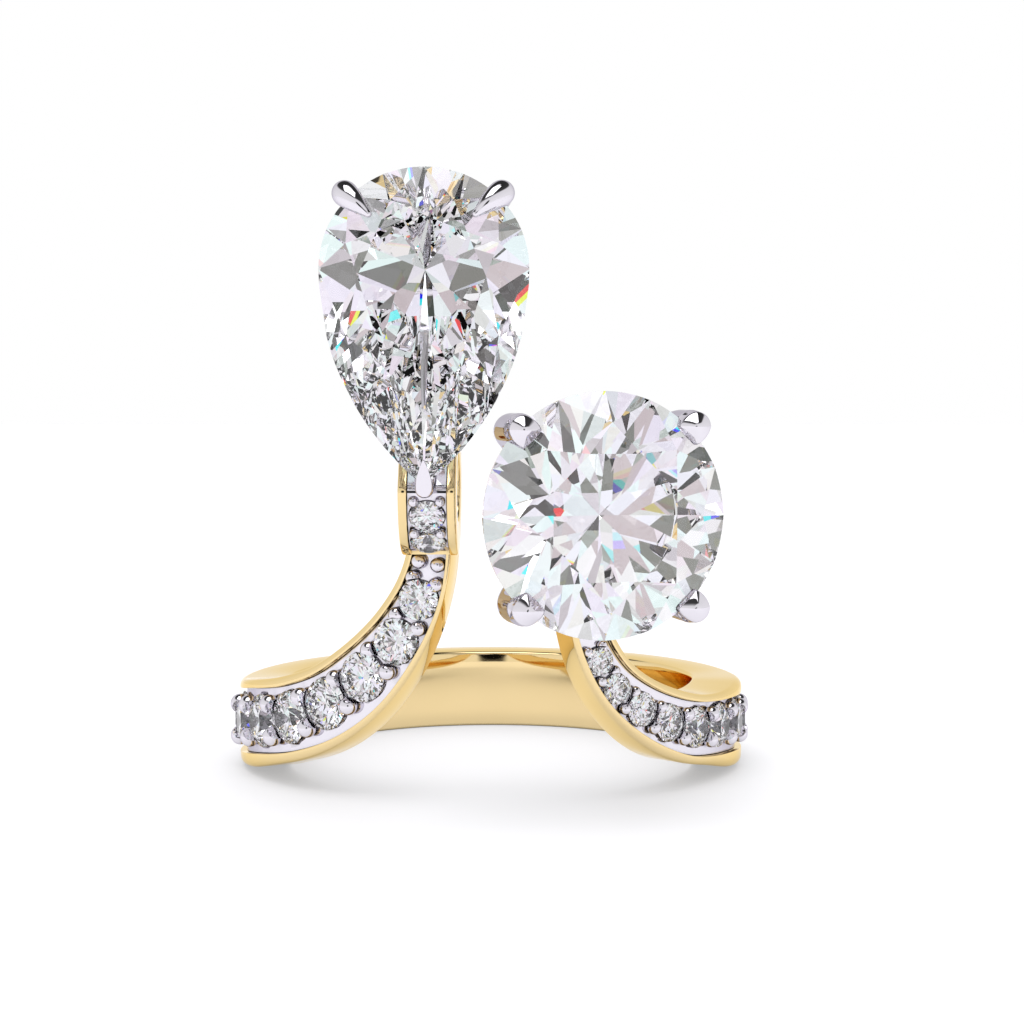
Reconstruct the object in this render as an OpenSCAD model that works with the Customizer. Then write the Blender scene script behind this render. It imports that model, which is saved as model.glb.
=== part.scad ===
// Toi et moi ring in two metals, lying on its side with the finger axis upright.
// A yellow band opens at the front into two arms that sweep up and taper, one to a pear
// stone and one to a round stone. The origin is on the finger axis, at the surface that
// the ring rests on. The front of the ring faces -Y, and azimuths are counted from there
// in degrees, positive to the right. All lengths are in millimetres.

/* [Band] */
// Inner diameter of the band, a common ring size
bore_d = 16.5; // [15.5:0.1:18]
// Thickness of the band between the finger and its outer face
band_t = 2.05; // [1.9:0.05:2.5]
// Width of the band at the back of the finger
band_w = 3.4; // [3.1:0.1:3.8]
// Radius of the rounded outer edges
edge_r = 0.32; // [0.2:0.02:0.4]
// Width of the softening along the edges of the bore
bore_edge = 0.14; // [0.08:0.02:0.2]
// How far the inner faces of the arms, above the band, stand back from the bore
arm_relief = 0.2; // [0.18:0.01:0.24]

/* [Accent channels] */
// Depth of the channels along the two arms
channel_depth = 1.25; // [1.2:0.05:1.3]
// How far the white bed lies below the yellow rails
bed_recess = 0.2; // [0.1:0.02:0.26]
// How far the girdle of an accent stone stands above the bed
accent_lift = 0.05; // [0:0.01:0.08]
// Free space between two accent stones in a row
accent_space = 0.2; // [0.14:0.02:0.26]
// Clearance between one piece and the next
gap = 0.03; // [0.02:0.005:0.04]

/* [Pear arm] */
// Height of the arm's top end above the middle of the band
pear_arm_h = 8.9; // [8.6:0.1:9.2]
// Diameter of the first and smallest accent stone of the arm
pear_accent_first = 1.49; // [1.3:0.02:1.56]
// Diameter of the last accent stone, at the side of the band
pear_accent_last = 2.13; // [1.9:0.02:2.2]
// Number of accent stones on the arm
pear_accent_count = 8; // [7:1:8]
// Distance along the arm from its top end to the first accent stone
pear_accent_start = 3.15; // [3.1:0.05:3.3]

/* [Round arm] */
// Height of the arm's top end above the middle of the band
round_arm_h = 9.9; // [9.6:0.1:10.4]
// Diameter of the first and smallest accent stone of the arm
round_accent_first = 1.05; // [0.95:0.02:1.1]
// Diameter of the last accent stone, at the side of the band
round_accent_last = 1.88; // [1.7:0.02:1.94]
// Number of accent stones on the arm
round_accent_count = 9; // [8:1:9]
// Distance along the arm from the channel's end at the side to the last accent stone
round_accent_end = 1.42; // [1.3:0.02:1.5]

/* [Collar] */
// Outer diameter of the loop that carries the pear stone
collar_d = 4.84; // [4.7:0.02:5]
// Diameter of the hole through the loop
collar_hole_d = 2.4; // [2:0.1:2.6]
// Width of the loop from side to side
collar_w = 2; // [1.9:0.05:2.2]
// Width of the loop's side rails
collar_rail = 0.3; // [0.26:0.01:0.32]
// Depth of the channel around the front of the loop
collar_channel_depth = 0.8; // [0.78:0.02:0.84]
// Diameter of the accent stones in the loop
collar_accent_d = 1.22; // [1.1:0.02:1.26]
// Distance from the outer face of the band forward to the centre of the loop
collar_proud = 0.55; // [0.5:0.05:0.7]
// Distance from the top end of the pear arm up to the centre of the loop
collar_rise = 1.06; // [1:0.02:1.1]
// Angle around the finger from the front to the loop and the pear stone
pear_azimuth = -11.4; // [-12:0.1:-11]
// Turn of the loop and the pear stone towards the left
pear_turn = 1.2; // [0:0.2:2]

/* [Pear stone] */
// Width of the pear stone
pear_w = 7.1; // [6.8:0.1:7.4]
// Length from the widest line of the pear stone to its point
pear_point = 7.3; // [7.1:0.1:7.5]
// Length from the widest line of the pear stone to its rounded end
pear_round = 3.4; // [3.2:0.1:3.6]
// Distance from the loop's centre forward to the girdle of the pear stone
pear_out = 3.45; // [3.4:0.05:3.6]
// Distance from the loop's centre up to the point of the pear stone
pear_up = 0.2; // [0.15:0.05:0.3]
// Diameter of the wires of the pear head
pear_wire_d = 0.8; // [0.7:0.05:0.9]

/* [Round stone] */
// Diameter of the round stone
round_d = 8.5; // [8.2:0.1:8.8]
// Sideways turn of the round stone towards the right
round_turn = 13.5; // [12:0.5:15]
// Angle around the finger from the front to the round stone's centre
round_azimuth = 22.9; // [22:0.1:23.5]
// Distance from the outer face of the band forward to the girdle of the round stone
round_proud = 3.7; // [3.6:0.05:4]
// Height of the round stone's centre below the top end of the round arm
round_drop = 0.8; // [0.6:0.05:1]
// Diameter of the prongs of the round head
prong_d = 1.15; // [1.05:0.05:1.25]

/* [Stone cut] */
// Height of the crown as a share of a stone's width
crown_share = 0.15; // [0.13:0.01:0.16]
// Thickness of the girdle as a share of a stone's width
girdle_share = 0.02; // [0.015:0.005:0.03]
// Depth of the pavilion as a share of a stone's width
pavilion_share = 0.43; // [0.41:0.01:0.435]
// Distance from the centre to a corner of the table as a share of the half width
table_share = 0.547; // [0.52:0.01:0.6]

/* [Hidden] */
pear_accents = [for (i = [1:pear_accent_count]) str("pear_arm_accent_", i)];
round_accents = [for (i = [1:round_accent_count]) str("round_arm_accent_", i)];
collar_accents = ["collar_accent_1", "collar_accent_2"];

yellow_gold = [0.93, 0.78, 0.48];
white_gold = [0.86, 0.85, 0.89];
diamond = [0.8, 0.87, 0.95];

bore_r = bore_d / 2;
outer_r = bore_r + band_t;
mid_h = band_w / 2;
// The bore goes on a little above the band, to where the relief of the arms starts
bore_length = band_w + 0.25;
relief_slope_h = 0.8;
bed_r = outer_r - bed_recess;
floor_r = outer_r - channel_depth;
// How far the white bed in the loop lies below its rails
collar_bed_recess = 0.15;
// Longest step between two sections of the swept shank
section_step = 0.6;
// How far a cutting body reaches past the face that it cuts
past = 0.3;
// Fineness of round shapes
fine = 48;
coarse = 24;

// Columns of a section table: azimuth, height of the centre line above the middle of the
// band as a share of the arm's height, then as shares of the band's width the distances
// from the centre line to the upper face, the lower face, and the channel's two walls
AZIMUTH = 0;
RISE = 1;
UPPER = 2;
LOWER = 3;
CHANNEL_UPPER = 4;
CHANNEL_LOWER = 5;

// The pear arm from its top end down to the side of the band
pear_rows = [
    [-11.8, 1.000, 0.255, 0.225, 0.175, 0.175],
    [-11.8, 0.850, 0.265, 0.235, 0.180, 0.180],
    [-12.8, 0.750, 0.288, 0.252, 0.205, 0.200],
    [-14.6, 0.645, 0.318, 0.283, 0.235, 0.230],
    [-19.8, 0.471, 0.380, 0.353, 0.294, 0.273],
    [-27.5, 0.321, 0.415, 0.445, 0.330, 0.365],
    [-37.2, 0.195, 0.445, 0.490, 0.345, 0.385],
    [-48.8, 0.115, 0.473, 0.505, 0.360, 0.380],
    [-56.0, 0.086, 0.474, 0.497, 0.370, 0.375],
    [-62.0, 0.069, 0.475, 0.510, 0.375, 0.375],
    [-70.0, 0.047, 0.478, 0.627, 0.375, 0.375],
    [-80.0, 0.022, 0.487, 0.560, 0.375, 0.375],
    [-103.0, 0.000, 0.500, 0.500, 0.375, 0.375]
];

// The round arm from its top end down to the side of the band
round_rows = [
    [18.6, 1.000, 0.200, 0.200, 0.140, 0.140],
    [18.8, 0.780, 0.210, 0.210, 0.145, 0.145],
    [20.2, 0.560, 0.220, 0.215, 0.150, 0.145],
    [22.2, 0.415, 0.268, 0.225, 0.188, 0.152],
    [26.8, 0.264, 0.325, 0.262, 0.245, 0.168],
    [32.9, 0.175, 0.352, 0.325, 0.270, 0.218],
    [40.8, 0.104, 0.385, 0.395, 0.294, 0.262],
    [50.1, 0.063, 0.375, 0.425, 0.290, 0.320],
    [56.0, 0.053, 0.365, 0.424, 0.285, 0.330],
    [62.0, 0.045, 0.375, 0.450, 0.288, 0.335],
    [70.0, 0.035, 0.415, 0.604, 0.300, 0.335],
    [80.0, 0.019, 0.475, 0.558, 0.320, 0.335],
    [103.0, 0.000, 0.500, 0.500, 0.340, 0.340]
];

// Place on the unrolled outer face: distance around it, height, then the four widths
function row_place(row, azimuth, arm_h) = concat(
    [outer_r * azimuth * PI / 180, mid_h + row[RISE] * arm_h],
    [for (column = [UPPER:CHANNEL_LOWER]) row[column] * band_w]
);
plain_row = [180, 0, 0.5, 0.5, 0.375, 0.375];
last_row = len(pear_rows) - 1;
// The whole run goes down the pear arm, around the back and up the round arm
run = concat(
    [for (row = pear_rows) row_place(row, row[AZIMUTH], pear_arm_h)],
    [row_place(plain_row, -180, 0)],
    [for (i = [len(round_rows) - 1:-1:0])
        row_place(round_rows[i], round_rows[i][AZIMUTH] - 360, round_arm_h)]
);

// Rows of the run between which each arm's channel is cut
pear_channel_rows = [1, last_row];
round_channel_rows = [last_row + 2, len(run) - 3];

function flat(row) = [row[0], row[1]];
function total(list, count, i = 0) = i >= count ? 0 : list[i] + total(list, count, i + 1);
spans = [for (i = [0:len(run) - 2]) norm(flat(run[i + 1]) - flat(run[i]))];
knots = [for (i = [0:len(run) - 1]) total(spans, i)];
run_length = knots[len(run) - 1];

// A smooth curve through the rows, with each row's slope taken from its neighbours
function slope(i) =
    let (before = max(i - 1, 0), after = min(i + 1, len(run) - 1))
    (run[after] - run[before]) / (knots[after] - knots[before]);
function between(i, t) =
    let (w = spans[i])
    (2 * t * t * t - 3 * t * t + 1) * run[i]
    + (t * t * t - 2 * t * t + t) * w * slope(i)
    + (3 * t * t - 2 * t * t * t) * run[i + 1]
    + (t * t * t - t * t) * w * slope(i + 1);
function steps(i) = ceil(spans[i] / section_step);

// Sections of the run, each with its distance along the run as its last value
sections = concat(
    [for (i = [0:len(spans) - 1]) for (j = [0:steps(i) - 1])
        concat(between(i, j / steps(i)), [knots[i] + spans[i] * j / steps(i)])],
    [concat(run[len(run) - 1], [run_length])]
);
AROUND = 0;
HEIGHT = 1;
DISTANCE = 6;
function column_at(distance, column) =
    lookup(distance, [for (s = sections) [s[DISTANCE], s[column]]]);
function section_at(distance) =
    concat([for (column = [AROUND:DISTANCE - 1]) column_at(distance, column)], [distance]);

// Direction across the run on the unrolled face, pointing to the upper face
function across(distance) =
    let (
        before = max(distance - section_step, 0),
        after = min(distance + section_step, run_length),
        along = flat(section_at(after)) - flat(section_at(before)),
        unit = along / norm(along)
    )
    [unit[HEIGHT], -unit[AROUND]];

// A point of the ring from its place on the unrolled outer face and its radius
function ring_point(place, radius) =
    let (azimuth = place[AROUND] / outer_r * 180 / PI)
    [radius * sin(azimuth), -radius * cos(azimuth), max(place[HEIGHT], 0)];
function section_point(section, side, offset, radius) =
    ring_point(flat(section) + offset * side, radius);

// Outline of the shank across the run, as pairs of offset and radius. It starts inside the
// bore at the lower face, and places 6 and 7 are the floor of the channel.
function shank_outline(s) =
    let (
        up = s[UPPER],
        down = s[LOWER],
        round_up = min(edge_r, 0.75 * (up - s[CHANNEL_UPPER])),
        round_down = min(edge_r, 0.75 * (down - s[CHANNEL_LOWER]))
    )
    [
        [-down + bore_edge + past, bore_r - past],
        [-down, bore_r + bore_edge],
        [-down, outer_r - round_down],
        [-down + round_down * (1 - sin(45)), outer_r - round_down * (1 - sin(45))],
        [-down + round_down, outer_r],
        [-s[CHANNEL_LOWER], outer_r],
        [-s[CHANNEL_LOWER], floor_r],
        [s[CHANNEL_UPPER], floor_r],
        [s[CHANNEL_UPPER], outer_r],
        [up - round_up, outer_r],
        [up - round_up * (1 - sin(45)), outer_r - round_up * (1 - sin(45))],
        [up, outer_r - round_up],
        [up, bore_r + bore_edge],
        [up - bore_edge - past, bore_r - past]
    ];
OUTLINE_POINTS = 14;
FLOOR_LOWER = 6;
FLOOR_UPPER = 7;

function in_channel(distance) =
    (distance > knots[pear_channel_rows[0]] && distance < knots[pear_channel_rows[1]])
    || (distance > knots[round_channel_rows[0]] && distance < knots[round_channel_rows[1]]);
function middle(i) = (sections[i][DISTANCE] + sections[i + 1][DISTANCE]) / 2;
function corner(i, j) = i * OUTLINE_POINTS + j;
function two_triangles(a, b, c, d) = [[a, c, b], [a, d, c]];
all_corners = [for (j = [0:OUTLINE_POINTS - 1]) j];
outer_corners = [for (j = all_corners) if (j != FLOOR_LOWER && j != FLOOR_UPPER) j];
function skin(i) =
    let (list = in_channel(middle(i)) ? all_corners : outer_corners)
    [for (k = [0:len(list) - 1])
        let (a = list[k], b = list[(k + 1) % len(list)])
        each two_triangles(corner(i, a), corner(i, b), corner(i + 1, b), corner(i + 1, a))];
// A wall that closes the channel at a section, seen from inside the channel
function channel_end(i, opens) =
    let (wall = two_triangles(
        corner(i, FLOOR_LOWER - 1), corner(i, FLOOR_LOWER),
        corner(i, FLOOR_UPPER), corner(i, FLOOR_UPPER + 1)))
    opens ? [for (t = wall) [t[0], t[2], t[1]]] : wall;
function end_cap(i, first) =
    let (
        last = len(outer_corners) - 1,
        fan = [for (k = [0:len(outer_corners) / 2 - 2])
            each two_triangles(
                corner(i, outer_corners[k]), corner(i, outer_corners[last - k]),
                corner(i, outer_corners[last - k - 1]), corner(i, outer_corners[k + 1]))]
    )
    first ? fan : [for (t = fan) [t[0], t[2], t[1]]];

module shank_run() {
    count = len(sections);
    points = [for (s = sections)
        let (side = across(s[DISTANCE]))
        for (p = shank_outline(s)) section_point(s, side, p[0], p[1])];
    faces = concat(
        [for (i = [0:count - 2]) each skin(i)],
        [for (i = [1:count - 2])
            if (in_channel(middle(i)) != in_channel(middle(i - 1)))
                each channel_end(i, in_channel(middle(i)))],
        end_cap(0, true),
        end_cap(count - 1, false)
    );
    polyhedron(points = points, faces = faces, convexity = 10);
}

// The loop under the pear stone, with its axis from side to side
collar_r = collar_d / 2;
collar_out = outer_r + collar_proud;
collar_side = outer_r * sin(pear_azimuth);
collar_h = mid_h + pear_arm_h + collar_rise;
collar_bed_r = collar_r - collar_bed_recess;
// Angles around the loop, from its front downwards, where its channel starts and ends
collar_channel_top = -50;
collar_channel_bottom = 94;

module at_collar() {
    translate([collar_side, -collar_out, collar_h])
        rotate([-90, 0, -90 - pear_turn])
            children();
}

// A ring sector around the loop's axis between two angles
module collar_sector(inner, outer, width, from, to) {
    rotate([0, 0, from])
        rotate_extrude(angle = to - from, $fn = fine)
            translate([inner, -width / 2])
                square([outer - inner, width]);
}

module collar_ring() {
    softening = edge_r / 4;
    rotate_extrude($fn = fine)
        polygon([
            [collar_hole_d / 2, -collar_w / 2],
            [collar_r - softening, -collar_w / 2],
            [collar_r, -collar_w / 2 + softening],
            [collar_r, collar_w / 2 - softening],
            [collar_r - softening, collar_w / 2],
            [collar_hole_d / 2, collar_w / 2]
        ]);
}

// The space for the finger, which is a little wider between the arms than in the band
module finger_space() {
    arm_r = bore_r + arm_relief;
    top = bore_length + mid_h + round_arm_h;
    rotate_extrude($fn = 2 * fine)
        polygon([
            [0, -past],
            [bore_r, -past],
            [bore_r, bore_length],
            [arm_r, bore_length + relief_slope_h],
            [arm_r, top],
            [0, top]
        ]);
}

module shank() {
    color(yellow_gold)
    difference() {
        union() {
            difference() {
                shank_run();
                finger_space();
            }
            at_collar() collar_ring();
        }
        at_collar()
            collar_sector(
                collar_r - collar_channel_depth, collar_r + past, collar_w - 2 * collar_rail,
                collar_channel_top, collar_channel_bottom);
    }
}

// Accent stones along an arm
function accent_d(i, count, first, last, ease) =
    first + (last - first) * pow(sin(90 * i / (count - 1)), ease);
pear_ease = 0.75;
round_ease = 1.3;
pear_ds = [for (i = [0:pear_accent_count - 1])
    accent_d(i, pear_accent_count, pear_accent_first, pear_accent_last, pear_ease)];
round_ds = [for (i = [0:round_accent_count - 1])
    accent_d(i, round_accent_count, round_accent_first, round_accent_last, round_ease)];
// Distance from the first stone of a row to stone i
function row_reach(ds, i) =
    i == 0 ? 0 : row_reach(ds, i - 1) + (ds[i - 1] + ds[i]) / 2 + accent_space;
pear_places = [for (i = [0:pear_accent_count - 1]) pear_accent_start + row_reach(pear_ds, i)];
round_places = [for (i = [0:round_accent_count - 1])
    knots[round_channel_rows[0]] + round_accent_end
    + row_reach(round_ds, round_accent_count - 1) - row_reach(round_ds, i)];
pear_bed_ends = [knots[pear_channel_rows[0]] + gap, knots[pear_channel_rows[1]] - gap];
round_bed_ends = [knots[round_channel_rows[0]] + gap, knots[round_channel_rows[1]] - gap];

// Stands a shape on the ring: its Z points outwards and its Y across the run
module on_run(distance, radius, offset = 0) {
    side = across(distance);
    place = flat(section_at(distance)) + offset * side;
    azimuth = place[AROUND] / outer_r * 180 / PI;
    translate(ring_point(place, radius))
        rotate([90, 0, azimuth])
            rotate([0, 0, atan2(side[HEIGHT], side[AROUND]) - 90])
                children();
}

function polar(r, angle, z) = [r * cos(angle), r * sin(angle), z];
// The height at place p of the plane through a, b and c
function plane_z(a, b, c, p) =
    let (n = cross(b - a, c - a))
    a[2] - (n[0] * (p[0] - a[0]) + n[1] * (p[1] - a[1])) / n[2];
// Point i of the girdle's edge, moved up or down into the plane of the facet that it ends
function rim_point(i, per_side, rim, peaks) =
    let (
        low = floor(i / per_side) * per_side,
        peak = peaks[floor(i / per_side / 2)],
        p = rim[i]
    )
    i == low ? p : [p[0], p[1], plane_z(peak, rim[low], rim[low + per_side], p)];
// Facets of a cut stone from its eight table corners, eight star points, the upper and
// lower edges of its girdle, eight pavilion points and its culet
module stone_mesh(arcs, tables, stars, edge, edge_low, halves, culet) {
    span = arcs / 8;
    star = 8;
    upper = 16;
    lower = upper + arcs;
    half = lower + arcs;
    tip = half + 8;
    faces = concat(
        [[7, 6, 5, 4, 3, 2, 1, 0]],
        [for (k = [0:7]) each [
            [k, (k + 1) % 8, star + k],
            [k, star + k, upper + span * k],
            [k, upper + span * k, star + (k + 7) % 8],
            [tip, lower + span * k, half + k],
            [tip, half + (k + 7) % 8, lower + span * k]
        ]],
        [for (k = [0:7]) for (j = [0:span - 1])
            let (a = span * k + j, b = (a + 1) % arcs)
            each [
                [star + k, upper + b, upper + a],
                [half + k, lower + a, lower + b],
                [upper + a, upper + b, lower + b],
                [upper + a, lower + b, lower + a]
            ]]
    );
    points = concat(tables, stars, edge, edge_low, halves, [culet]);
    polyhedron(points = points, faces = faces, convexity = 4);
}

// Distance of the star points from a stone's middle as a share of its half width, and their
// height as a share of the crown, which keeps the four corners of each kite in one plane
star_share = (table_share * cos(22.5) + 1) / 2;
star_height = 1 - (star_share * cos(22.5) - table_share) / (1 - table_share);
// Distance of the pavilion points from the middle of a round stone and of the pear stone
round_half_share = 0.23;
pear_half_share = 0.3;

// A round brilliant with its table towards +Z and its girdle at the origin
module brilliant(d, arcs) {
    r = d / 2;
    girdle = d * girdle_share / 2;
    rise = d * crown_share;
    culet = -girdle - d * pavilion_share;
    half_z = culet + (-girdle - culet) * round_half_share * cos(22.5);
    per_side = arcs / 16;
    tables = [for (k = [0:7]) polar(r * table_share, 22.5 + 45 * k, girdle + rise)];
    stars = [for (k = [0:7])
        polar(r * star_share, 45 + 45 * k, girdle + rise * star_height)];
    halves = [for (k = [0:7]) polar(r * round_half_share, 45 + 45 * k, half_z)];
    rim = [for (i = [0:arcs]) polar(r, 22.5 + i * 360 / arcs, girdle)];
    rim_low = [for (p = rim) [p[0], p[1], -girdle]];
    stone_mesh(arcs, tables, stars,
        [for (i = [0:arcs - 1]) rim_point(i, per_side, rim, stars)],
        [for (i = [0:arcs - 1]) rim_point(i, per_side, rim_low, halves)],
        halves, [0, 0, culet]);
}

// Outline of a round stone's half section with a clearance all round, as a turned body
module brilliant_seat(d) {
    r = d / 2 + gap;
    girdle = d * girdle_share / 2 + gap;
    rise = d * crown_share;
    rotate_extrude($fn = 2 * fine)
        polygon([
            [0, -girdle - d * pavilion_share],
            [r, -girdle],
            [r, girdle],
            [r * star_share, girdle + rise * star_height],
            [r * table_share, girdle + rise],
            [0, girdle + rise]
        ]);
}

function bed_corners(s) = [
    [-s[CHANNEL_LOWER] + gap, floor_r + gap],
    [-s[CHANNEL_LOWER] + gap, bed_r],
    [s[CHANNEL_UPPER] - gap, bed_r],
    [s[CHANNEL_UPPER] - gap, floor_r + gap]
];
module bed_run(ends) {
    count = ceil((ends[1] - ends[0]) / section_step);
    distances = [for (i = [0:count]) ends[0] + (ends[1] - ends[0]) * i / count];
    points = [for (distance = distances)
        let (s = section_at(distance), side = across(distance))
        for (p = bed_corners(s)) section_point(s, side, p[0], p[1])];
    faces = concat(
        [for (i = [0:count - 1]) for (j = [0:3])
            each two_triangles(4 * i + j, 4 * i + (j + 1) % 4,
                4 * i + 4 + (j + 1) % 4, 4 * i + 4 + j)],
        two_triangles(3, 2, 1, 0),
        two_triangles(4 * count, 4 * count + 1, 4 * count + 2, 4 * count + 3)
    );
    polyhedron(points = points, faces = faces, convexity = 6);
}

// Beads stand in pairs between the accent stones, and lap over their edges
bead_share = 0.15;
bead_offset_share = 0.31;
// The extra pairs at the top of an arm stand closer together
top_offset_share = 0.24;
module bead_pair(distance, mean_d, offset_share = bead_offset_share) {
    for (side = [-1, 1])
        on_run(distance, bed_r, side * offset_share * mean_d) bead(bead_share * mean_d);
}
module bead(r) {
    translate([0, 0, 0.3 * r]) sphere(r = r, $fn = coarse);
}

// The white bed of an arm, with its beads, and a seat for each accent stone. One pair of
// beads or more stands before the first stone.
top_pair_space = 0.67;
module bed(ends, places, ds, extra_pairs) {
    last = len(places) - 1;
    step = sign(places[1] - places[0]);
    difference() {
        union() {
            bed_run(ends);
            for (i = [0:last - 1])
                bead_pair((places[i] + places[i + 1]) / 2, (ds[i] + ds[i + 1]) / 2);
            bead_pair(places[0] - step * ds[0] / 2, ds[0]);
            for (i = [1:1:extra_pairs])
                bead_pair(places[0] - step * (ds[0] / 2 + i * top_pair_space), ds[0],
                    top_offset_share);
        }
        for (i = [0:last]) on_run(places[i], bed_r + accent_lift) brilliant_seat(ds[i]);
    }
}

// Stands a shape on the loop: its Z points outwards, at an angle below the front
module on_collar(angle, radius, offset = 0) {
    at_collar() rotate([0, 0, angle]) translate([radius, 0, offset]) rotate([0, 90, 0]) children();
}
collar_accent_angles = [24, 56];
collar_bead_angles = [10, 40];

module pear_arm_bed() {
    color(white_gold) bed(pear_bed_ends, pear_places, pear_ds, 1);
}

module round_arm_bed() {
    color(white_gold) bed(round_bed_ends, round_places, round_ds, 0);
}

module collar_bed() {
    turn = gap / collar_r * 180 / PI;
    spread = collar_w / 2 - collar_rail - 2 * gap - bead_share * collar_accent_d;
    color(white_gold)
    difference() {
        union() {
            at_collar() collar_sector(
                collar_r - collar_channel_depth + gap, collar_bed_r,
                collar_w - 2 * collar_rail - 2 * gap,
                collar_channel_top + turn, collar_channel_bottom - turn);
            for (angle = collar_bead_angles) for (side = [-1, 1])
                on_collar(angle, collar_bed_r, side * spread) bead(bead_share * collar_accent_d);
        }
        for (angle = collar_accent_angles)
            on_collar(angle, collar_bed_r + accent_lift) brilliant_seat(collar_accent_d);
    }
}

// Places of the two main stones: X to the side, Y up and Z to the front, from the girdle
module at_pear() {
    translate([collar_side, -collar_out, collar_h])
        rotate([90, 0, -pear_turn])
            translate([0, pear_up + pear_point, pear_out])
                children();
}
round_h = mid_h + round_arm_h - round_drop;
module at_round() {
    translate([outer_r * sin(round_azimuth), -outer_r - round_proud, round_h])
        rotate([90, 0, round_turn])
            children();
}

// Outline of the pear stone at a share of the way round, from its right side over the
// rounded end, with every length grown by a clearance
function pear_edge(share, grow) =
    share <= 0.5
        ? [(pear_w / 2 + grow) * cos(360 * share), (pear_round + grow) * sin(360 * share)]
        : let (s = sin(360 * (share - 0.5)), side = share < 0.75 ? -1 : 1)
          [side * (pear_w / 2 + grow) * pow(1 - pow(s, 2.15), 0.9), -(pear_point + grow) * s];
// The table is drawn in towards a point below the widest line
table_centre = [0, -pear_point / 9];
function pear_in(share, size, grow) =
    let (edge = pear_edge(share, grow))
    table_centre + size * (edge - table_centre);

module pear_cut(grow = 0) {
    arcs = 32;
    girdle = pear_w * girdle_share / 2 + grow;
    rise = pear_w * crown_share;
    culet = -girdle - pear_w * pavilion_share;
    half_z = culet + (-girdle - culet) * pear_half_share * cos(22.5);
    tables = [for (k = [0:7]) concat(pear_in(k / 8, table_share, grow), [girdle + rise])];
    stars = [for (k = [0:7])
        concat(pear_in((k + 0.5) / 8, star_share, grow), [girdle + rise * star_height])];
    halves = [for (k = [0:7])
        concat(pear_edge((k + 0.5) / 8, grow) * pear_half_share, [half_z])];
    rim = [for (i = [0:arcs - 1]) concat(pear_edge(i / arcs, grow), [girdle])];
    rim_low = [for (p = rim) [p[0], p[1], -girdle]];
    stone_mesh(arcs, tables, stars, rim, rim_low, halves, [0, 0, culet]);
}

// A straight wire between two points, with round ends that let it turn a corner. The ends
// are a little thicker than the wire.
module wire(from, to, d, swell = 1.02) {
    run_to = to - from;
    translate(from) {
        rotate([0, acos(run_to[2] / norm(run_to)), atan2(run_to[1], run_to[0])])
            cylinder(d = d, h = norm(run_to), $fn = coarse);
        sphere(d = d * swell, $fn = coarse);
    }
    translate(to) sphere(d = d * swell, $fn = coarse);
}

module claw(from, to, d, tip_d) {
    hull() {
        translate(from) sphere(d = d, $fn = coarse);
        translate(to) sphere(d = tip_d, $fn = coarse / 2);
    }
}

// Radius of the round base ring of either head, and how far it lies behind the girdle
pear_base_r = 1.5;
pear_base_depth = 3.1;
round_base_r = 1.45;
round_base_depth = 3.95;

module base_ring(r, depth, d) {
    translate([0, 0, -depth])
        rotate_extrude($fn = fine)
            translate([r, 0])
                circle(d = d, $fn = coarse);
}

// Where the shoulder wires grip the pear stone, from its middle, and the end of their claws
shoulder_grip = [0.369 * pear_w, 0.729 * pear_round, 0];
shoulder_knee = [0.325 * pear_w, 0.642 * pear_round, -0.4 * pear_base_depth];
shoulder_foot = [0.72 * pear_base_r, 0.69 * pear_base_r, -pear_base_depth];
shoulder_claw = [0.251 * pear_w, 0.51 * pear_round, 0.95];
claw_lift = [0, 0, 0.25];
claw_d = 0.88;
claw_tip_d = 0.24;

// One of the two wires that hold the rounded end, with its claw
module pear_shoulder() {
    wire(shoulder_grip, shoulder_knee, pear_wire_d);
    wire(shoulder_knee, shoulder_foot, pear_wire_d);
    claw(shoulder_grip + claw_lift, shoulder_claw, claw_d, claw_tip_d);
}

// The stem stands on the loop, and the keel wire runs from its foot under the stone's point
keel_d = 0.7 * pear_wire_d;
tip_y = -pear_point - 0.12;
stem_top = [0, -pear_base_r, -pear_base_depth];
stem_foot = [0, -pear_point - pear_up + collar_r - 0.2, -pear_out];
keel_start = stem_foot + [0, 0.5, 0];
keel_bend = [0, -0.71 * pear_point, -0.5 * pear_out];
keel_end = [0, tip_y + 1, -0.85];
tip_root = [0, tip_y, -0.7];
tip_claw = [[0, tip_y, 0.05], [0, tip_y + 0.92, 0.5]];
tip_claw_d = 0.7;
tip_claw_end_d = 0.16;
// How far the loop's bed lies behind the girdle of the pear stone
bed_face = pear_out - collar_bed_r - gap;

module pear_head() {
    color(white_gold)
    difference() {
        union() {
            difference() {
                at_pear() {
                    base_ring(pear_base_r, pear_base_depth, pear_wire_d);
                    pear_shoulder();
                    mirror([1, 0, 0]) pear_shoulder();
                    wire(stem_top, stem_foot, pear_wire_d);
                    wire(keel_start, keel_bend, keel_d);
                    wire(keel_bend, keel_end, keel_d);
                    wire(keel_end, tip_root, keel_d);
                }
                at_collar() cylinder(r = collar_r + gap, h = collar_w, center = true, $fn = fine);
            }
            difference() {
                at_pear() {
                    translate([0, tip_y, -bed_face])
                        cylinder(d = keel_d, h = bed_face, $fn = coarse);
                    claw(tip_claw[0], tip_claw[1], tip_claw_d, tip_claw_end_d);
                }
                at_collar()
                    cylinder(r = collar_bed_r + gap, h = collar_w, center = true, $fn = fine);
            }
        }
        at_pear() pear_cut(gap);
    }
}

// The prongs stand straight beside the round stone, bend in below it and end in pyramids
prong_reach = round_d / 2 + 0.05;
prong_knee_depth = 1.6;
prong_cap_z = 0.62;
prong_cap_h = 0.48;
prong_cap_r = 0.54 * prong_d;
prong_cap_tip_r = 0.05;
prong_foot_d = 0.98 * prong_d;
prong_swell = 1.05;
round_ring_d = 0.87 * prong_d;

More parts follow.
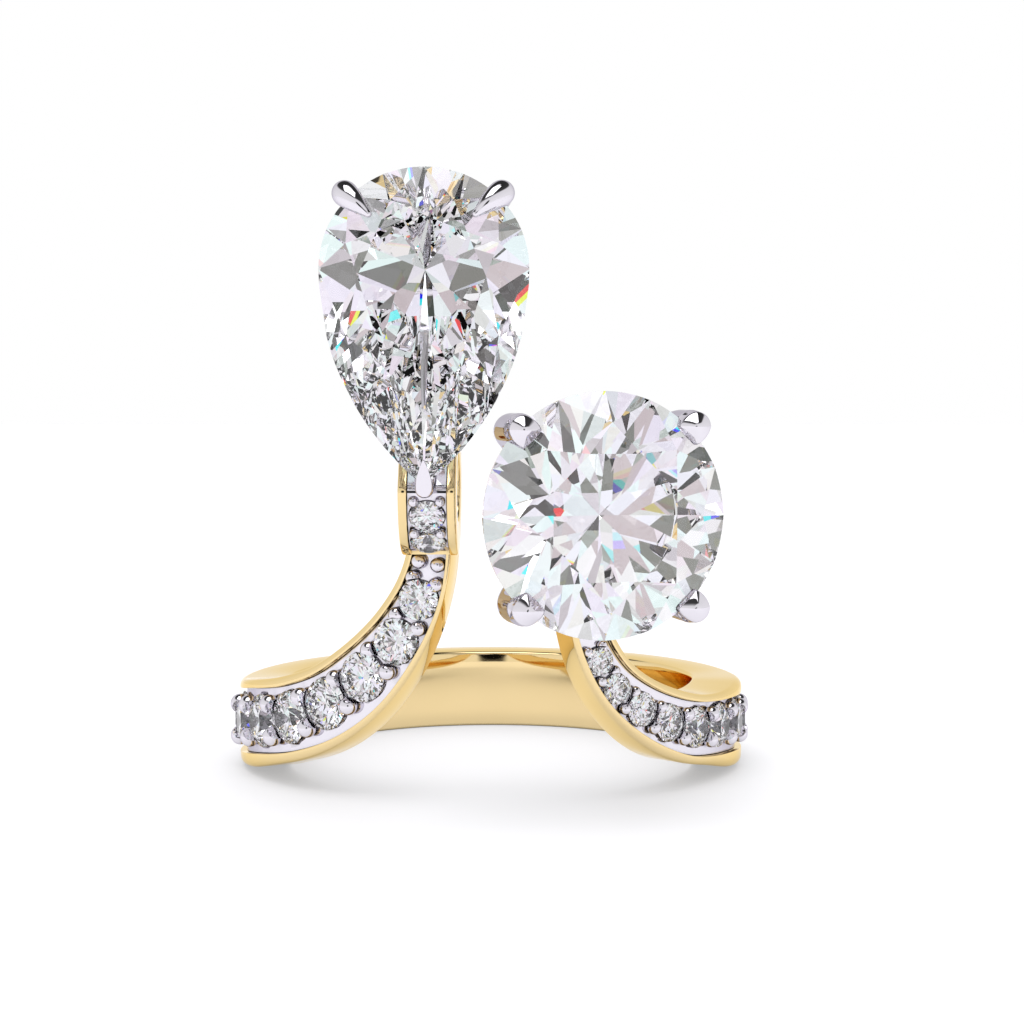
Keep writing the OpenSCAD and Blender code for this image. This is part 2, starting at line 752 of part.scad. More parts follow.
module prong(angle) {
    place = polar(prong_reach, angle, 0);
    knee = polar(prong_reach, angle, -prong_knee_depth);
    foot = polar(round_base_r, angle, -round_base_depth);
    translate(knee) cylinder(d = prong_d, h = prong_knee_depth + prong_cap_z, $fn = coarse);
    wire(knee, foot, prong_foot_d, prong_swell);
    translate(place + [0, 0, prong_cap_z])
        cylinder(r1 = prong_cap_r, r2 = prong_cap_tip_r, h = prong_cap_h, $fn = 4);
}

module round_head() {
    color(white_gold)
    difference() {
        at_round() {
            base_ring(round_base_r, round_base_depth, round_ring_d);
            for (angle = [45:90:315]) prong(angle);
        }
        at_round() brilliant_seat(round_d);
        cylinder(r = outer_r + gap, h = 2 * round_h, $fn = 2 * fine);
    }
}

module pear_stone() {
    color(diamond) at_pear() pear_cut();
}

module round_stone() {
    color(diamond) at_round() brilliant(round_d, 32);
}

module run_accent(distance, d) {
    color(diamond) on_run(distance, bed_r + accent_lift) brilliant(d, 16);
}

module collar_accent(i) {
    color(diamond)
        on_collar(collar_accent_angles[i], collar_bed_r + accent_lift) brilliant(collar_accent_d, 16);
}

shank();
pear_arm_bed();
round_arm_bed();
collar_bed();
pear_head();
round_head();
pear_stone();
round_stone();
for (i = [0:len(pear_accents) - 1])
    run_accent(pear_places[i], pear_ds[i]);
for (i = [0:len(round_accents) - 1])
    run_accent(round_places[i], round_ds[i]);
for (i = [0:len(collar_accents) - 1])
    collar_accent(i);
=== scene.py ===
"""Looks of a toi et moi ring in two metals, lying on its side on a pale floor.

All sizes are in millimetres until a mesh is finished, and each mesh is then scaled to metres.
The frame is the ring's own: +Z along the finger axis, -Y towards the front, and the origin on
the finger axis at the floor.
"""
import logging
import math
from dataclasses import dataclass, field
from enum import Enum
from typing import Callable, Iterable, Sequence

import bmesh
import bpy
import numpy as np
from bmesh.types import BMEdge, BMesh, BMVert
from bpy.types import Material, Node, NodeSocket, NodeTree, Object
from mathutils import Matrix, Vector


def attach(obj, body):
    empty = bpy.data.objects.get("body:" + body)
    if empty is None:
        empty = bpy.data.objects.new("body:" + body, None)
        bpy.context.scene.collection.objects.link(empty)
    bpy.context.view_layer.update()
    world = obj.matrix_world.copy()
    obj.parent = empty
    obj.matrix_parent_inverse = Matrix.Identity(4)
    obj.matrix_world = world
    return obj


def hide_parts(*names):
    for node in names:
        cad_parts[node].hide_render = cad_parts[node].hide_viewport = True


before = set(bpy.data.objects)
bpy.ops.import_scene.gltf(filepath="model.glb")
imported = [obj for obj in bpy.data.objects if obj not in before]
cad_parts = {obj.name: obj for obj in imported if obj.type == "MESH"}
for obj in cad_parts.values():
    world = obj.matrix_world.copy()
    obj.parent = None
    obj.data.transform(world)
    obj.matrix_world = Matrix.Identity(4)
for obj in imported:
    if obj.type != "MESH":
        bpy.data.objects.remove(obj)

LOG = logging.getLogger("ring")
MM = 0.001
WELD = 1e-5
BEAD_SIDES = 28
BEAD_RINGS = 18
BASE_WIRE_SIDES = 24
BASE_RING_STEPS = 64
DRUM_STEPS = 144


class Slot(Enum):
    """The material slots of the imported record."""

    YELLOW_GOLD = "yellow_gold"
    WHITE_GOLD = "white_gold"
    DIAMOND = "diamond"


class Part(Enum):
    """Where a stone's plane cuts: above the girdle or below it."""

    CROWN = 1
    PAVILION = -1


# Materials

@dataclass(frozen=True)
class NodeKit:
    """Short calls that add nodes to one material's or world's tree."""

    tree: NodeTree

    def add(self, kind: str, **settings: object) -> Node:
        """Adds a node and sets its properties.

        Args:
            kind: the node's type name.
            settings: properties of the node by name.

        Returns:
            The new node.
        """
        node = self.tree.nodes.new(kind)
        for name, value in settings.items():
            setattr(node, name, value)
        return node

    def link(self, source: NodeSocket, target: NodeSocket) -> None:
        """Joins an output to an input."""
        self.tree.links.new(source, target)

    def noise(self, vector: NodeSocket, scale: float, detail: float) -> Node:
        """Adds a noise texture that reads a vector.

        Args:
            vector: the coordinates that it reads.
            scale: how fine it is, in cells per metre.
            detail: how many finer layers it has.

        Returns:
            The texture node.
        """
        node = self.add("ShaderNodeTexNoise")
        node.inputs["Scale"].default_value = scale
        node.inputs["Detail"].default_value = detail
        self.link(vector, node.inputs["Vector"])
        return node

    def span(self, value: NodeSocket, low: float, high: float) -> NodeSocket:
        """Maps a value from 0 to 1 onto another span.

        Args:
            value: the socket to map.
            low: what 0 becomes.
            high: what 1 becomes.

        Returns:
            The mapped output.
        """
        node = self.add("ShaderNodeMapRange")
        node.inputs["To Min"].default_value = low
        node.inputs["To Max"].default_value = high
        self.link(value, node.inputs["Value"])
        return node.outputs["Result"]

    def unit(self, value: NodeSocket) -> NodeSocket:
        """Maps a value from -1 to 1 onto 0 to 1.

        Args:
            value: the socket to map.

        Returns:
            The mapped output.
        """
        node = self.add("ShaderNodeMapRange")
        node.inputs["From Min"].default_value = -1.0
        self.link(value, node.inputs["Value"])
        return node.outputs["Result"]

    def ramp(
        self, value: NodeSocket, tones: Sequence[tuple[float, float]], easing: str
    ) -> NodeSocket:
        """Maps a value onto a row of grey tones.

        Args:
            value: the socket to map.
            tones: pairs of place and brightness, in order.
            easing: how the ramp goes from one tone to the next.

        Returns:
            The tone's output.
        """
        node = self.add("ShaderNodeValToRGB")
        ramp = node.color_ramp
        ramp.interpolation = easing
        while len(ramp.elements) < len(tones):
            ramp.elements.new(1.0)
        for element, (place, tone) in zip(ramp.elements, tones):
            element.position = place
            element.color = (tone, tone, tone, 1.0)
        self.link(value, node.inputs["Fac"])
        return node.outputs["Color"]

    def tint(
        self, factor: NodeSocket, first: Sequence[float], second: Sequence[float]
    ) -> NodeSocket:
        """Goes from one colour to another.

        Args:
            factor: how much of the second colour shows.
            first: a colour.
            second: the other colour.

        Returns:
            The colour's output.
        """
        node = self.add("ShaderNodeMix", data_type="RGBA")
        node.inputs["A"].default_value = (*first, 1.0)
        node.inputs["B"].default_value = (*second, 1.0)
        self.link(factor, node.inputs["Factor"])
        return node.outputs["Result"]

    def both(self, operation: str, first: NodeSocket, second: NodeSocket) -> NodeSocket:
        """Works out one number from two.

        Args:
            operation: the Math node's operation.
            first: a number.
            second: the other number.

        Returns:
            The result's output.
        """
        node = self.add("ShaderNodeMath", operation=operation)
        self.link(first, node.inputs[0])
        self.link(second, node.inputs[1])
        return node.outputs["Value"]


@dataclass(frozen=True)
class Metal:
    """A polished metal with faint polishing marks, a very slight unevenness and painted shade: its
    base colour is darkened in crevices and between parts by ambient occlusion."""

    name: str
    colour: tuple[float, float, float]
    worn_colour: tuple[float, float, float]
    edge_tint: tuple[float, float, float]
    roughness: float
    roughness_spread: float
    # Painted shade: how far the base colour darkens with ambient occlusion, and how far the occlusion
    # looks.
    painted_crevice_shade_tones: tuple[tuple[float, float], ...]
    painted_crevice_shade_reach: float = 0.25
    mark_scale: float = 5200.0
    cloud_scale: float = 320.0
    bump: float = 0.012

    def material(self) -> Material:
        """Builds the metal's node material.

        Returns:
            The material.
        """
        made = bpy.data.materials.new(self.name)
        made.use_nodes = True
        made.diffuse_color = (*self.colour, 1.0)
        kit = NodeKit(made.node_tree)
        shader = made.node_tree.nodes["Principled BSDF"]
        shader.inputs["Metallic"].default_value = 1.0
        shader.inputs["Specular Tint"].default_value = (*self.edge_tint, 1.0)
        place = kit.add("ShaderNodeTexCoord").outputs["Object"]
        cloud = kit.noise(place, self.cloud_scale, 3.0)
        marks = kit.noise(place, self.mark_scale, 2.0)
        # Painted shade: the base colour is multiplied by a ramp of ambient occlusion, so crevices and
        # gaps between parts turn dark.
        painted_shade_occlusion = kit.add("ShaderNodeAmbientOcclusion", samples=4)
        painted_shade_occlusion.inputs["Distance"].default_value = self.painted_crevice_shade_reach * MM
        painted_shade_mix = kit.add("ShaderNodeMix", data_type="RGBA", blend_type="MULTIPLY")
        painted_shade_mix.inputs["Factor"].default_value = 1.0
        tint = kit.tint(cloud.outputs["Fac"], self.colour, self.worn_colour)
        kit.link(tint, painted_shade_mix.inputs["A"])
        kit.link(kit.ramp(painted_shade_occlusion.outputs["AO"], self.painted_crevice_shade_tones, "LINEAR"), painted_shade_mix.inputs["B"])
        kit.link(painted_shade_mix.outputs["Result"], shader.inputs["Base Color"])
        low = self.roughness - self.roughness_spread
        high = self.roughness + self.roughness_spread
        kit.link(kit.span(marks.outputs["Fac"], low, high), shader.inputs["Roughness"])
        bump = kit.add("ShaderNodeBump")
        bump.inputs["Strength"].default_value = self.bump
        bump.inputs["Distance"].default_value = 0.01 * MM
        kit.link(marks.outputs["Fac"], bump.inputs["Height"])
        kit.link(bump.outputs["Normal"], shader.inputs["Normal"])
        return made


@dataclass(frozen=True)
class Gem:
    """A clear cut stone with a strong refraction and faint clouds of inclusions."""

    name: str
    colour: tuple[float, float, float]
    clouded_colour: tuple[float, float, float]
    refraction: float = 2.417
    shine: float = 0.35
    cloud_scale: float = 900.0

    def material(self) -> Material:
        """Builds the stone's node material.

        Returns:
            The material.
        """
        made = bpy.data.materials.new(self.name)
        made.use_nodes = True
        made.diffuse_color = (*self.colour, 0.4)
        kit = NodeKit(made.node_tree)
        shader = made.node_tree.nodes["Principled BSDF"]
        shader.inputs["Roughness"].default_value = 0.0
        shader.inputs["Transmission Weight"].default_value = 1.0
        shader.inputs["IOR"].default_value = self.refraction
        shader.inputs["Specular Tint"].default_value = (self.shine, self.shine, self.shine, 1.0)
        place = kit.add("ShaderNodeTexCoord").outputs["Object"]
        cloud = kit.noise(place, self.cloud_scale, 2.0)
        tint = kit.tint(cloud.outputs["Fac"], self.colour, self.clouded_colour)
        kit.link(tint, shader.inputs["Base Color"])
        return made


YELLOW_GOLD = Metal(
    name="polished_yellow_gold",
    colour=(0.86, 0.67, 0.36),
    worn_colour=(0.84, 0.655, 0.345),
    edge_tint=(0.95, 0.84, 0.58),
    roughness=0.05,
    roughness_spread=0.02,
    painted_crevice_shade_tones=((0.0, 0.15), (0.3, 0.6), (0.6, 1.0)),
)
WHITE_GOLD = Metal(
    name="polished_white_gold",
    colour=(0.77, 0.745, 0.80),
    worn_colour=(0.755, 0.73, 0.785),
    edge_tint=(0.6, 0.58, 0.63),
    roughness=0.045,
    roughness_spread=0.02,
    painted_crevice_shade_tones=((0.0, 0.15), (0.3, 0.28), (0.46, 0.76), (0.6, 1.0)),
)
DIAMOND = Gem(
    name="clear_diamond",
    colour=(0.99, 0.985, 1.0),
    clouded_colour=(0.98, 0.98, 0.995),
)
FINISHES = {
    Slot.YELLOW_GOLD: YELLOW_GOLD.material(),
    Slot.WHITE_GOLD: WHITE_GOLD.material(),
    Slot.DIAMOND: DIAMOND.material(),
}


# Meshes

def finish_mesh(
    bm: BMesh,
    name: str,
    node: str,
    slot: Slot,
    smooth_below: float | None = None,
) -> Object:
    """Turns a mesh in millimetres into a piece of the ring that rides on its one body.

    Args:
        bm: the mesh, which is used up.
        name: the piece's name.
        node: the node that it stands for.
        slot: the record's material slot, which gives its finish.
        smooth_below: faces that meet at less than this angle, in degrees, are shaded as one
            smooth surface. None leaves every face flat.

    Returns:
        The new object.
    """
    bmesh.ops.scale(bm, vec=(MM, MM, MM), verts=bm.verts)
    bmesh.ops.recalc_face_normals(bm, faces=bm.faces)
    for face in bm.faces:
        face.smooth = smooth_below is not None
    if smooth_below is not None:
        limit = math.radians(smooth_below)
        for edge in bm.edges:
            edge.smooth = len(edge.link_faces) != 2 or edge.calc_face_angle() < limit
    mesh = bpy.data.meshes.new(name)
    bm.to_mesh(mesh)
    bm.free()
    mesh.materials.append(FINISHES[slot])
    piece = bpy.data.objects.new(name, mesh)
    bpy.context.scene.collection.objects.link(piece)
    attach(piece, "root")
    if smooth_below is not None:
        weigh = piece.modifiers.new("even_shading", "WEIGHTED_NORMAL")
        weigh.keep_sharp = True
        weigh.weight = 60
    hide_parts(node)
    LOG.info("%s: %d faces", name, len(mesh.polygons))
    return piece


def swept_skin(bm: BMesh, rings: Sequence[Sequence[Vector]]) -> None:
    """Adds a closed body whose skin runs through a row of rings.

    Args:
        bm: the mesh that it goes into.
        rings: the rings in order, each with the same number of points.
    """
    count, around = len(rings), len(rings[0])
    part = bmesh.new()
    bmesh.ops.create_grid(part, x_segments=around, y_segments=count - 1, size=1.0)
    part.verts.ensure_lookup_table()
    for j, ring in enumerate(rings):
        for i in range(around + 1):
            part.verts[j * (around + 1) + i].co = ring[i % around]
    bmesh.ops.remove_doubles(part, verts=part.verts, dist=1e-6)
    open_edges = [e for e in part.edges if e.is_boundary]
    bmesh.ops.holes_fill(part, edges=open_edges, sides=0)
    merge_into(bm, part)


def merge_into(bm: BMesh, part: BMesh) -> None:
    """Moves one mesh's contents into another.

    Args:
        bm: the mesh that grows.
        part: the mesh that is used up.
    """
    carrier = bpy.data.meshes.new("carrier")
    part.to_mesh(carrier)
    part.free()
    bm.from_mesh(carrier)
    bpy.data.meshes.remove(carrier)


# The run of the band

@dataclass(frozen=True)
class ArmRow:
    """A chosen section of an arm. Its rise is a share of the arm's height, and its widths,
    from the centre line to the faces and to the channel's walls, are shares of the band's."""

    azimuth: float
    rise: float
    upper: float
    lower: float
    wall_upper: float
    wall_lower: float


PEAR_ARM_ROWS = (
    ArmRow(-11.8, 1.000, 0.255, 0.225, 0.175, 0.175),
    ArmRow(-11.8, 0.850, 0.265, 0.235, 0.180, 0.180),
    ArmRow(-12.8, 0.750, 0.288, 0.252, 0.205, 0.200),
    ArmRow(-14.6, 0.645, 0.318, 0.283, 0.235, 0.230),
    ArmRow(-19.8, 0.471, 0.380, 0.353, 0.294, 0.273),
    ArmRow(-27.5, 0.321, 0.415, 0.445, 0.330, 0.365),
    ArmRow(-37.2, 0.195, 0.445, 0.490, 0.345, 0.385),
    ArmRow(-48.8, 0.115, 0.473, 0.505, 0.360, 0.380),
    ArmRow(-56.0, 0.086, 0.474, 0.497, 0.370, 0.375),
    ArmRow(-62.0, 0.069, 0.475, 0.530, 0.375, 0.375),
    ArmRow(-70.0, 0.047, 0.478, 0.550, 0.375, 0.375),
    ArmRow(-80.0, 0.022, 0.487, 0.535, 0.375, 0.375),
    ArmRow(-103.0, 0.000, 0.500, 0.500, 0.375, 0.375),
)
ROUND_ARM_ROWS = (
    ArmRow(18.6, 1.000, 0.200, 0.200, 0.140, 0.140),
    ArmRow(18.8, 0.780, 0.210, 0.210, 0.145, 0.145),
    ArmRow(20.2, 0.560, 0.220, 0.215, 0.150, 0.145),
    ArmRow(22.2, 0.415, 0.268, 0.225, 0.188, 0.152),
    ArmRow(26.8, 0.264, 0.325, 0.262, 0.245, 0.168),
    ArmRow(32.9, 0.175, 0.352, 0.325, 0.270, 0.218),
    ArmRow(40.8, 0.104, 0.385, 0.395, 0.294, 0.262),
    ArmRow(50.1, 0.063, 0.375, 0.425, 0.290, 0.320),
    ArmRow(56.0, 0.053, 0.365, 0.424, 0.285, 0.330),
    ArmRow(62.0, 0.045, 0.375, 0.480, 0.288, 0.335),
    ArmRow(70.0, 0.035, 0.415, 0.530, 0.300, 0.335),
    ArmRow(80.0, 0.019, 0.475, 0.534, 0.320, 0.335),
    ArmRow(103.0, 0.000, 0.500, 0.500, 0.340, 0.340),
)
PLAIN_ROW = ArmRow(-180.0, 0.0, 0.5, 0.5, 0.375, 0.375)


@dataclass(frozen=True)
class Section:
    """The widths of the run at one distance, from its centre line."""

    upper: float
    lower: float
    wall_upper: float
    wall_lower: float


@dataclass
class BandRun:
    """The shank's path on its unrolled outer face: from the top of the pear arm, around the
    back of the finger and up the round arm."""

    bore_r: float = 8.25
    band_t: float = 2.05
    band_w: float = 3.4
    pear_arm_h: float = 8.9
    round_arm_h: float = 9.9
    step: float = 0.15
    smoothing_rounds: int = 20
    lift_rounds: int = 60
    rows: np.ndarray = field(init=False)
    knots: np.ndarray = field(init=False)
    distances: np.ndarray = field(init=False)
    columns: np.ndarray = field(init=False)

    def __post_init__(self) -> None:
        """Works out the smoothed path from the chosen rows."""
        turn = 360.0
        self.rows = np.array(
            [self.placed(row, row.azimuth, self.pear_arm_h) for row in PEAR_ARM_ROWS]
            + [self.placed(PLAIN_ROW, PLAIN_ROW.azimuth, 0.0)]
            + [self.placed(row, row.azimuth - turn, self.round_arm_h)
               for row in reversed(ROUND_ARM_ROWS)]
        )
        spans = np.linalg.norm(np.diff(self.rows[:, :2], axis=0), axis=1)
        self.knots = np.concatenate([[0.0], np.cumsum(spans)])
        count = math.ceil(self.length / self.step)
        self.distances = np.linspace(0.0, self.length, count + 1)
        self.columns = np.array([self.curve(d) for d in self.distances])
        self.columns = self.evened(self.columns, self.smoothing_rounds)
        lift = np.maximum(self.columns[:, 1] - self.columns[:, 3], 0.0)
        lift = self.evened(lift, self.lift_rounds)
        self.columns[:, 3] = self.columns[:, 1] - lift

    @staticmethod
    def evened(values: np.ndarray, rounds: int) -> np.ndarray:
        """Evens out values along the path.

        Args:
            values: one row for each distance.
            rounds: how often each is drawn towards its neighbours.

        Returns:
            The new values. Both ends stay.
        """
        made = values.copy()
        for _ in range(rounds):
            made[1:-1] = (made[1:-1] * 2 + made[:-2] + made[2:]) / 4
        return made

    @property
    def outer_r(self) -> float:
        """Radius of the band's outer face."""
        return self.bore_r + self.band_t

    @property
    def mid_h(self) -> float:
        """Height of the band's middle."""
        return self.band_w / 2

    @property
    def length(self) -> float:
        """Length of the whole path."""
        return float(self.knots[-1])

    def placed(self, row: ArmRow, azimuth: float, arm_h: float) -> list[float]:
        """Turns a row's shares into millimetres.

        Args:
            row: the chosen section.
            azimuth: its angle around the finger, in degrees.
            arm_h: the height of the arm that it belongs to.

        Returns:
            Distance around, height, and the four widths.
        """
        shares = (row.upper, row.lower, row.wall_upper, row.wall_lower)
        around = self.outer_r * math.radians(azimuth)
        return [around, self.mid_h + row.rise * arm_h, *(s * self.band_w for s in shares)]

    def curve(self, distance: float) -> np.ndarray:
        """Finds the path's values on a smooth curve through the rows.

        Args:
            distance: how far along the path.

        Returns:
            The six values there.
        """
        last = len(self.rows) - 1
        i = min(int(np.searchsorted(self.knots, distance, side="right")) - 1, last - 1)
        span = self.knots[i + 1] - self.knots[i]
        t = (distance - self.knots[i]) / span

        def slope(k: int) -> np.ndarray:
            """The curve's slope at row k, from the rows beside it."""
            a, b = max(k - 1, 0), min(k + 1, last)
            return (self.rows[b] - self.rows[a]) / (self.knots[b] - self.knots[a])

        return (
            (2 * t**3 - 3 * t**2 + 1) * self.rows[i]
            + (t**3 - 2 * t**2 + t) * span * slope(i)
            + (3 * t**2 - 2 * t**3) * self.rows[i + 1]
            + (t**3 - t**2) * span * slope(i + 1)
        )

    def values(self, distance: float) -> list[float]:
        """The six smoothed values of the path at a distance."""
        return [float(np.interp(distance, self.distances, c)) for c in self.columns.T]

    def section(self, distance: float) -> Section:
        """The widths at a distance."""
        return Section(*self.values(distance)[2:])

    def side(self, distance: float) -> tuple[float, float]:
        """Finds the direction across the path on the unrolled face.

        Args:
            distance: how far along the path.

        Returns:
            The direction, towards the upper face.
        """
        reach = 2 * self.step
        before = self.values(max(distance - reach, 0.0))
        after = self.values(min(distance + reach, self.length))
        along = Vector((after[0] - before[0], after[1] - before[1])).normalized()
        return along[1], -along[0]

    def point(self, distance: float, offset: float, radius: float) -> Vector:
        """Finds a point of the ring.

        Args:
            distance: how far along the path.
            offset: how far across it, towards the upper face.
            radius: how far from the finger axis.

        Returns:
            The point, never below the floor.
        """
        around, height = self.values(distance)[:2]
        side = self.side(distance)
        azimuth = (around + offset * side[0]) / self.outer_r
        z = max(height + offset * side[1], 0.0)
        return Vector((radius * math.sin(azimuth), -radius * math.cos(azimuth), z))

    def standing(self, distance: float, radius: float, offset: float = 0.0) -> Matrix:
        """Gives the place of a shape that stands on the ring.

        Args:
            distance: how far along the path.
            radius: how far from the finger axis.
            offset: how far across the path.

        Returns:
            A matrix whose Z points outwards and whose Y points across the path.
        """
        side = self.side(distance)
        azimuth = (self.values(distance)[0] + offset * side[0]) / self.outer_r
        lean = math.atan2(side[1], side[0]) - math.pi / 2
        return (
            Matrix.Translation(self.point(distance, offset, radius))
            @ Matrix.Rotation(azimuth, 4, "Z")
            @ Matrix.Rotation(math.pi / 2, 4, "X")
            @ Matrix.Rotation(lean, 4, "Z")
        )


def arc(
    centre: tuple[float, float], radius: float, start: float, end: float, steps: int
) -> list[tuple[float, float]]:
    """Gives the points of an arc in a section.

    Args:
        centre: its centre, as offset and radius.
        radius: its own radius.
        start: its first angle in degrees, where 0 points along the offset.
        end: its last angle.
        steps: how many parts it has.

    Returns:
        The points in order.
    """
    angles = [math.radians(start + (end - start) * i / steps) for i in range(steps + 1)]
    return [(centre[0] + radius * math.cos(a), centre[1] + radius * math.sin(a)) for a in angles]


def channel_outline(
    low: float, high: float, outer: float, floor: float, lip: float, is_open: bool
) -> list[tuple[float, float]]:
    """Gives the part of a section that runs across a channel.

    Args:
        low: the offset of the channel's lower wall.
        high: the offset of its upper wall.
        outer: the radius of the face that it is cut into.
        floor: the radius of its floor.
        lip: the radius of its softened rims.
        is_open: whether it is cut there. If not, all points lie on the face.

    Returns:
        Pairs of offset and radius, as many either way.
    """
    points = [
        *arc((low - lip, outer - lip), lip, 90, 0, 2), (low, floor), (high, floor),
        *arc((high + lip, outer - lip), lip, 180, 90, 2)]
    return points if is_open else [(offset, outer) for offset, _ in points]


# The yellow shank

@dataclass
class Shank:
    """The yellow band with its two arms, and the channels in them."""

    run: BandRun
    channel_depth: float = 1.25
    edge_r: float = 0.32
    bore_edge: float = 0.14
    rail_edge: float = 0.03
    arc_steps: int = 5
    wall_steps: int = 5
    end_gap: float = 0.003

    @property
    def pear_channel(self) -> tuple[float, float]:
        """Where the pear arm's channel starts and ends along the run."""
        knots = self.run.knots
        return float(knots[1]), float(knots[len(PEAR_ARM_ROWS) - 1])

    @property
    def round_channel(self) -> tuple[float, float]:
        """Where the round arm's channel starts and ends along the run."""
        knots = self.run.knots
        return float(knots[len(PEAR_ARM_ROWS) + 1]), float(knots[len(knots) - 3])

    def stations(self) -> list[tuple[float, bool]]:
        """Lists where the rings of the skin lie.

        Returns:
            Pairs of distance and whether the channel is open there.
        """
        ends = (*self.pear_channel, *self.round_channel)
        close = [end + side * self.end_gap for end in ends for side in (-1, 1)]
        even = [d for d in self.run.distances if min(abs(d - end) for end in ends) > 0.02]
        spans = (self.pear_channel, self.round_channel)
        return [
            (d, any(low < d < high for low, high in spans)) for d in sorted([*even, *close])
        ]

    def outline(self, section: Section, is_open: bool) -> list[tuple[float, float]]:
        """Gives the outline of the band across the run.

        Args:
            section: the widths there.
            is_open: whether the channel is cut there.

        Returns:
            Pairs of offset and radius, from the bore's lower edge outwards and round.
        """
        outer, bore, soft = self.run.outer_r, self.run.bore_r, self.bore_edge
        down, up = section.lower, section.upper
        low_r = min(self.edge_r, 0.75 * (down - section.wall_lower))
        high_r = min(self.edge_r, 0.75 * (up - section.wall_upper))
        inner = [
            (up - soft - (up + down - 2 * soft) * i / self.wall_steps, bore)
            for i in range(1, self.wall_steps)
        ]
        return [
            *arc((-down + soft, bore + soft), soft, 270, 180, 3),
            *arc((-down + low_r, outer - low_r), low_r, 180, 90, self.arc_steps),
            *channel_outline(-section.wall_lower, section.wall_upper, outer,
                             outer - self.channel_depth, self.rail_edge, is_open),
            *arc((up - high_r, outer - high_r), high_r, 90, 0, self.arc_steps),
            *arc((up - soft, bore + soft), soft, 0, -90, 3),
            *inner,
        ]

    def build(self) -> Object:
        """Builds the band.

        Returns:
            The piece.
        """
        rings = [
            [self.run.point(d, offset, radius)
             for offset, radius in self.outline(self.run.section(d), is_open)]
            for d, is_open in self.stations()
        ]
        bm = bmesh.new()
        swept_skin(bm, rings)
        return finish_mesh(bm, "band_and_arms", "shank", Slot.YELLOW_GOLD, smooth_below=35.0)


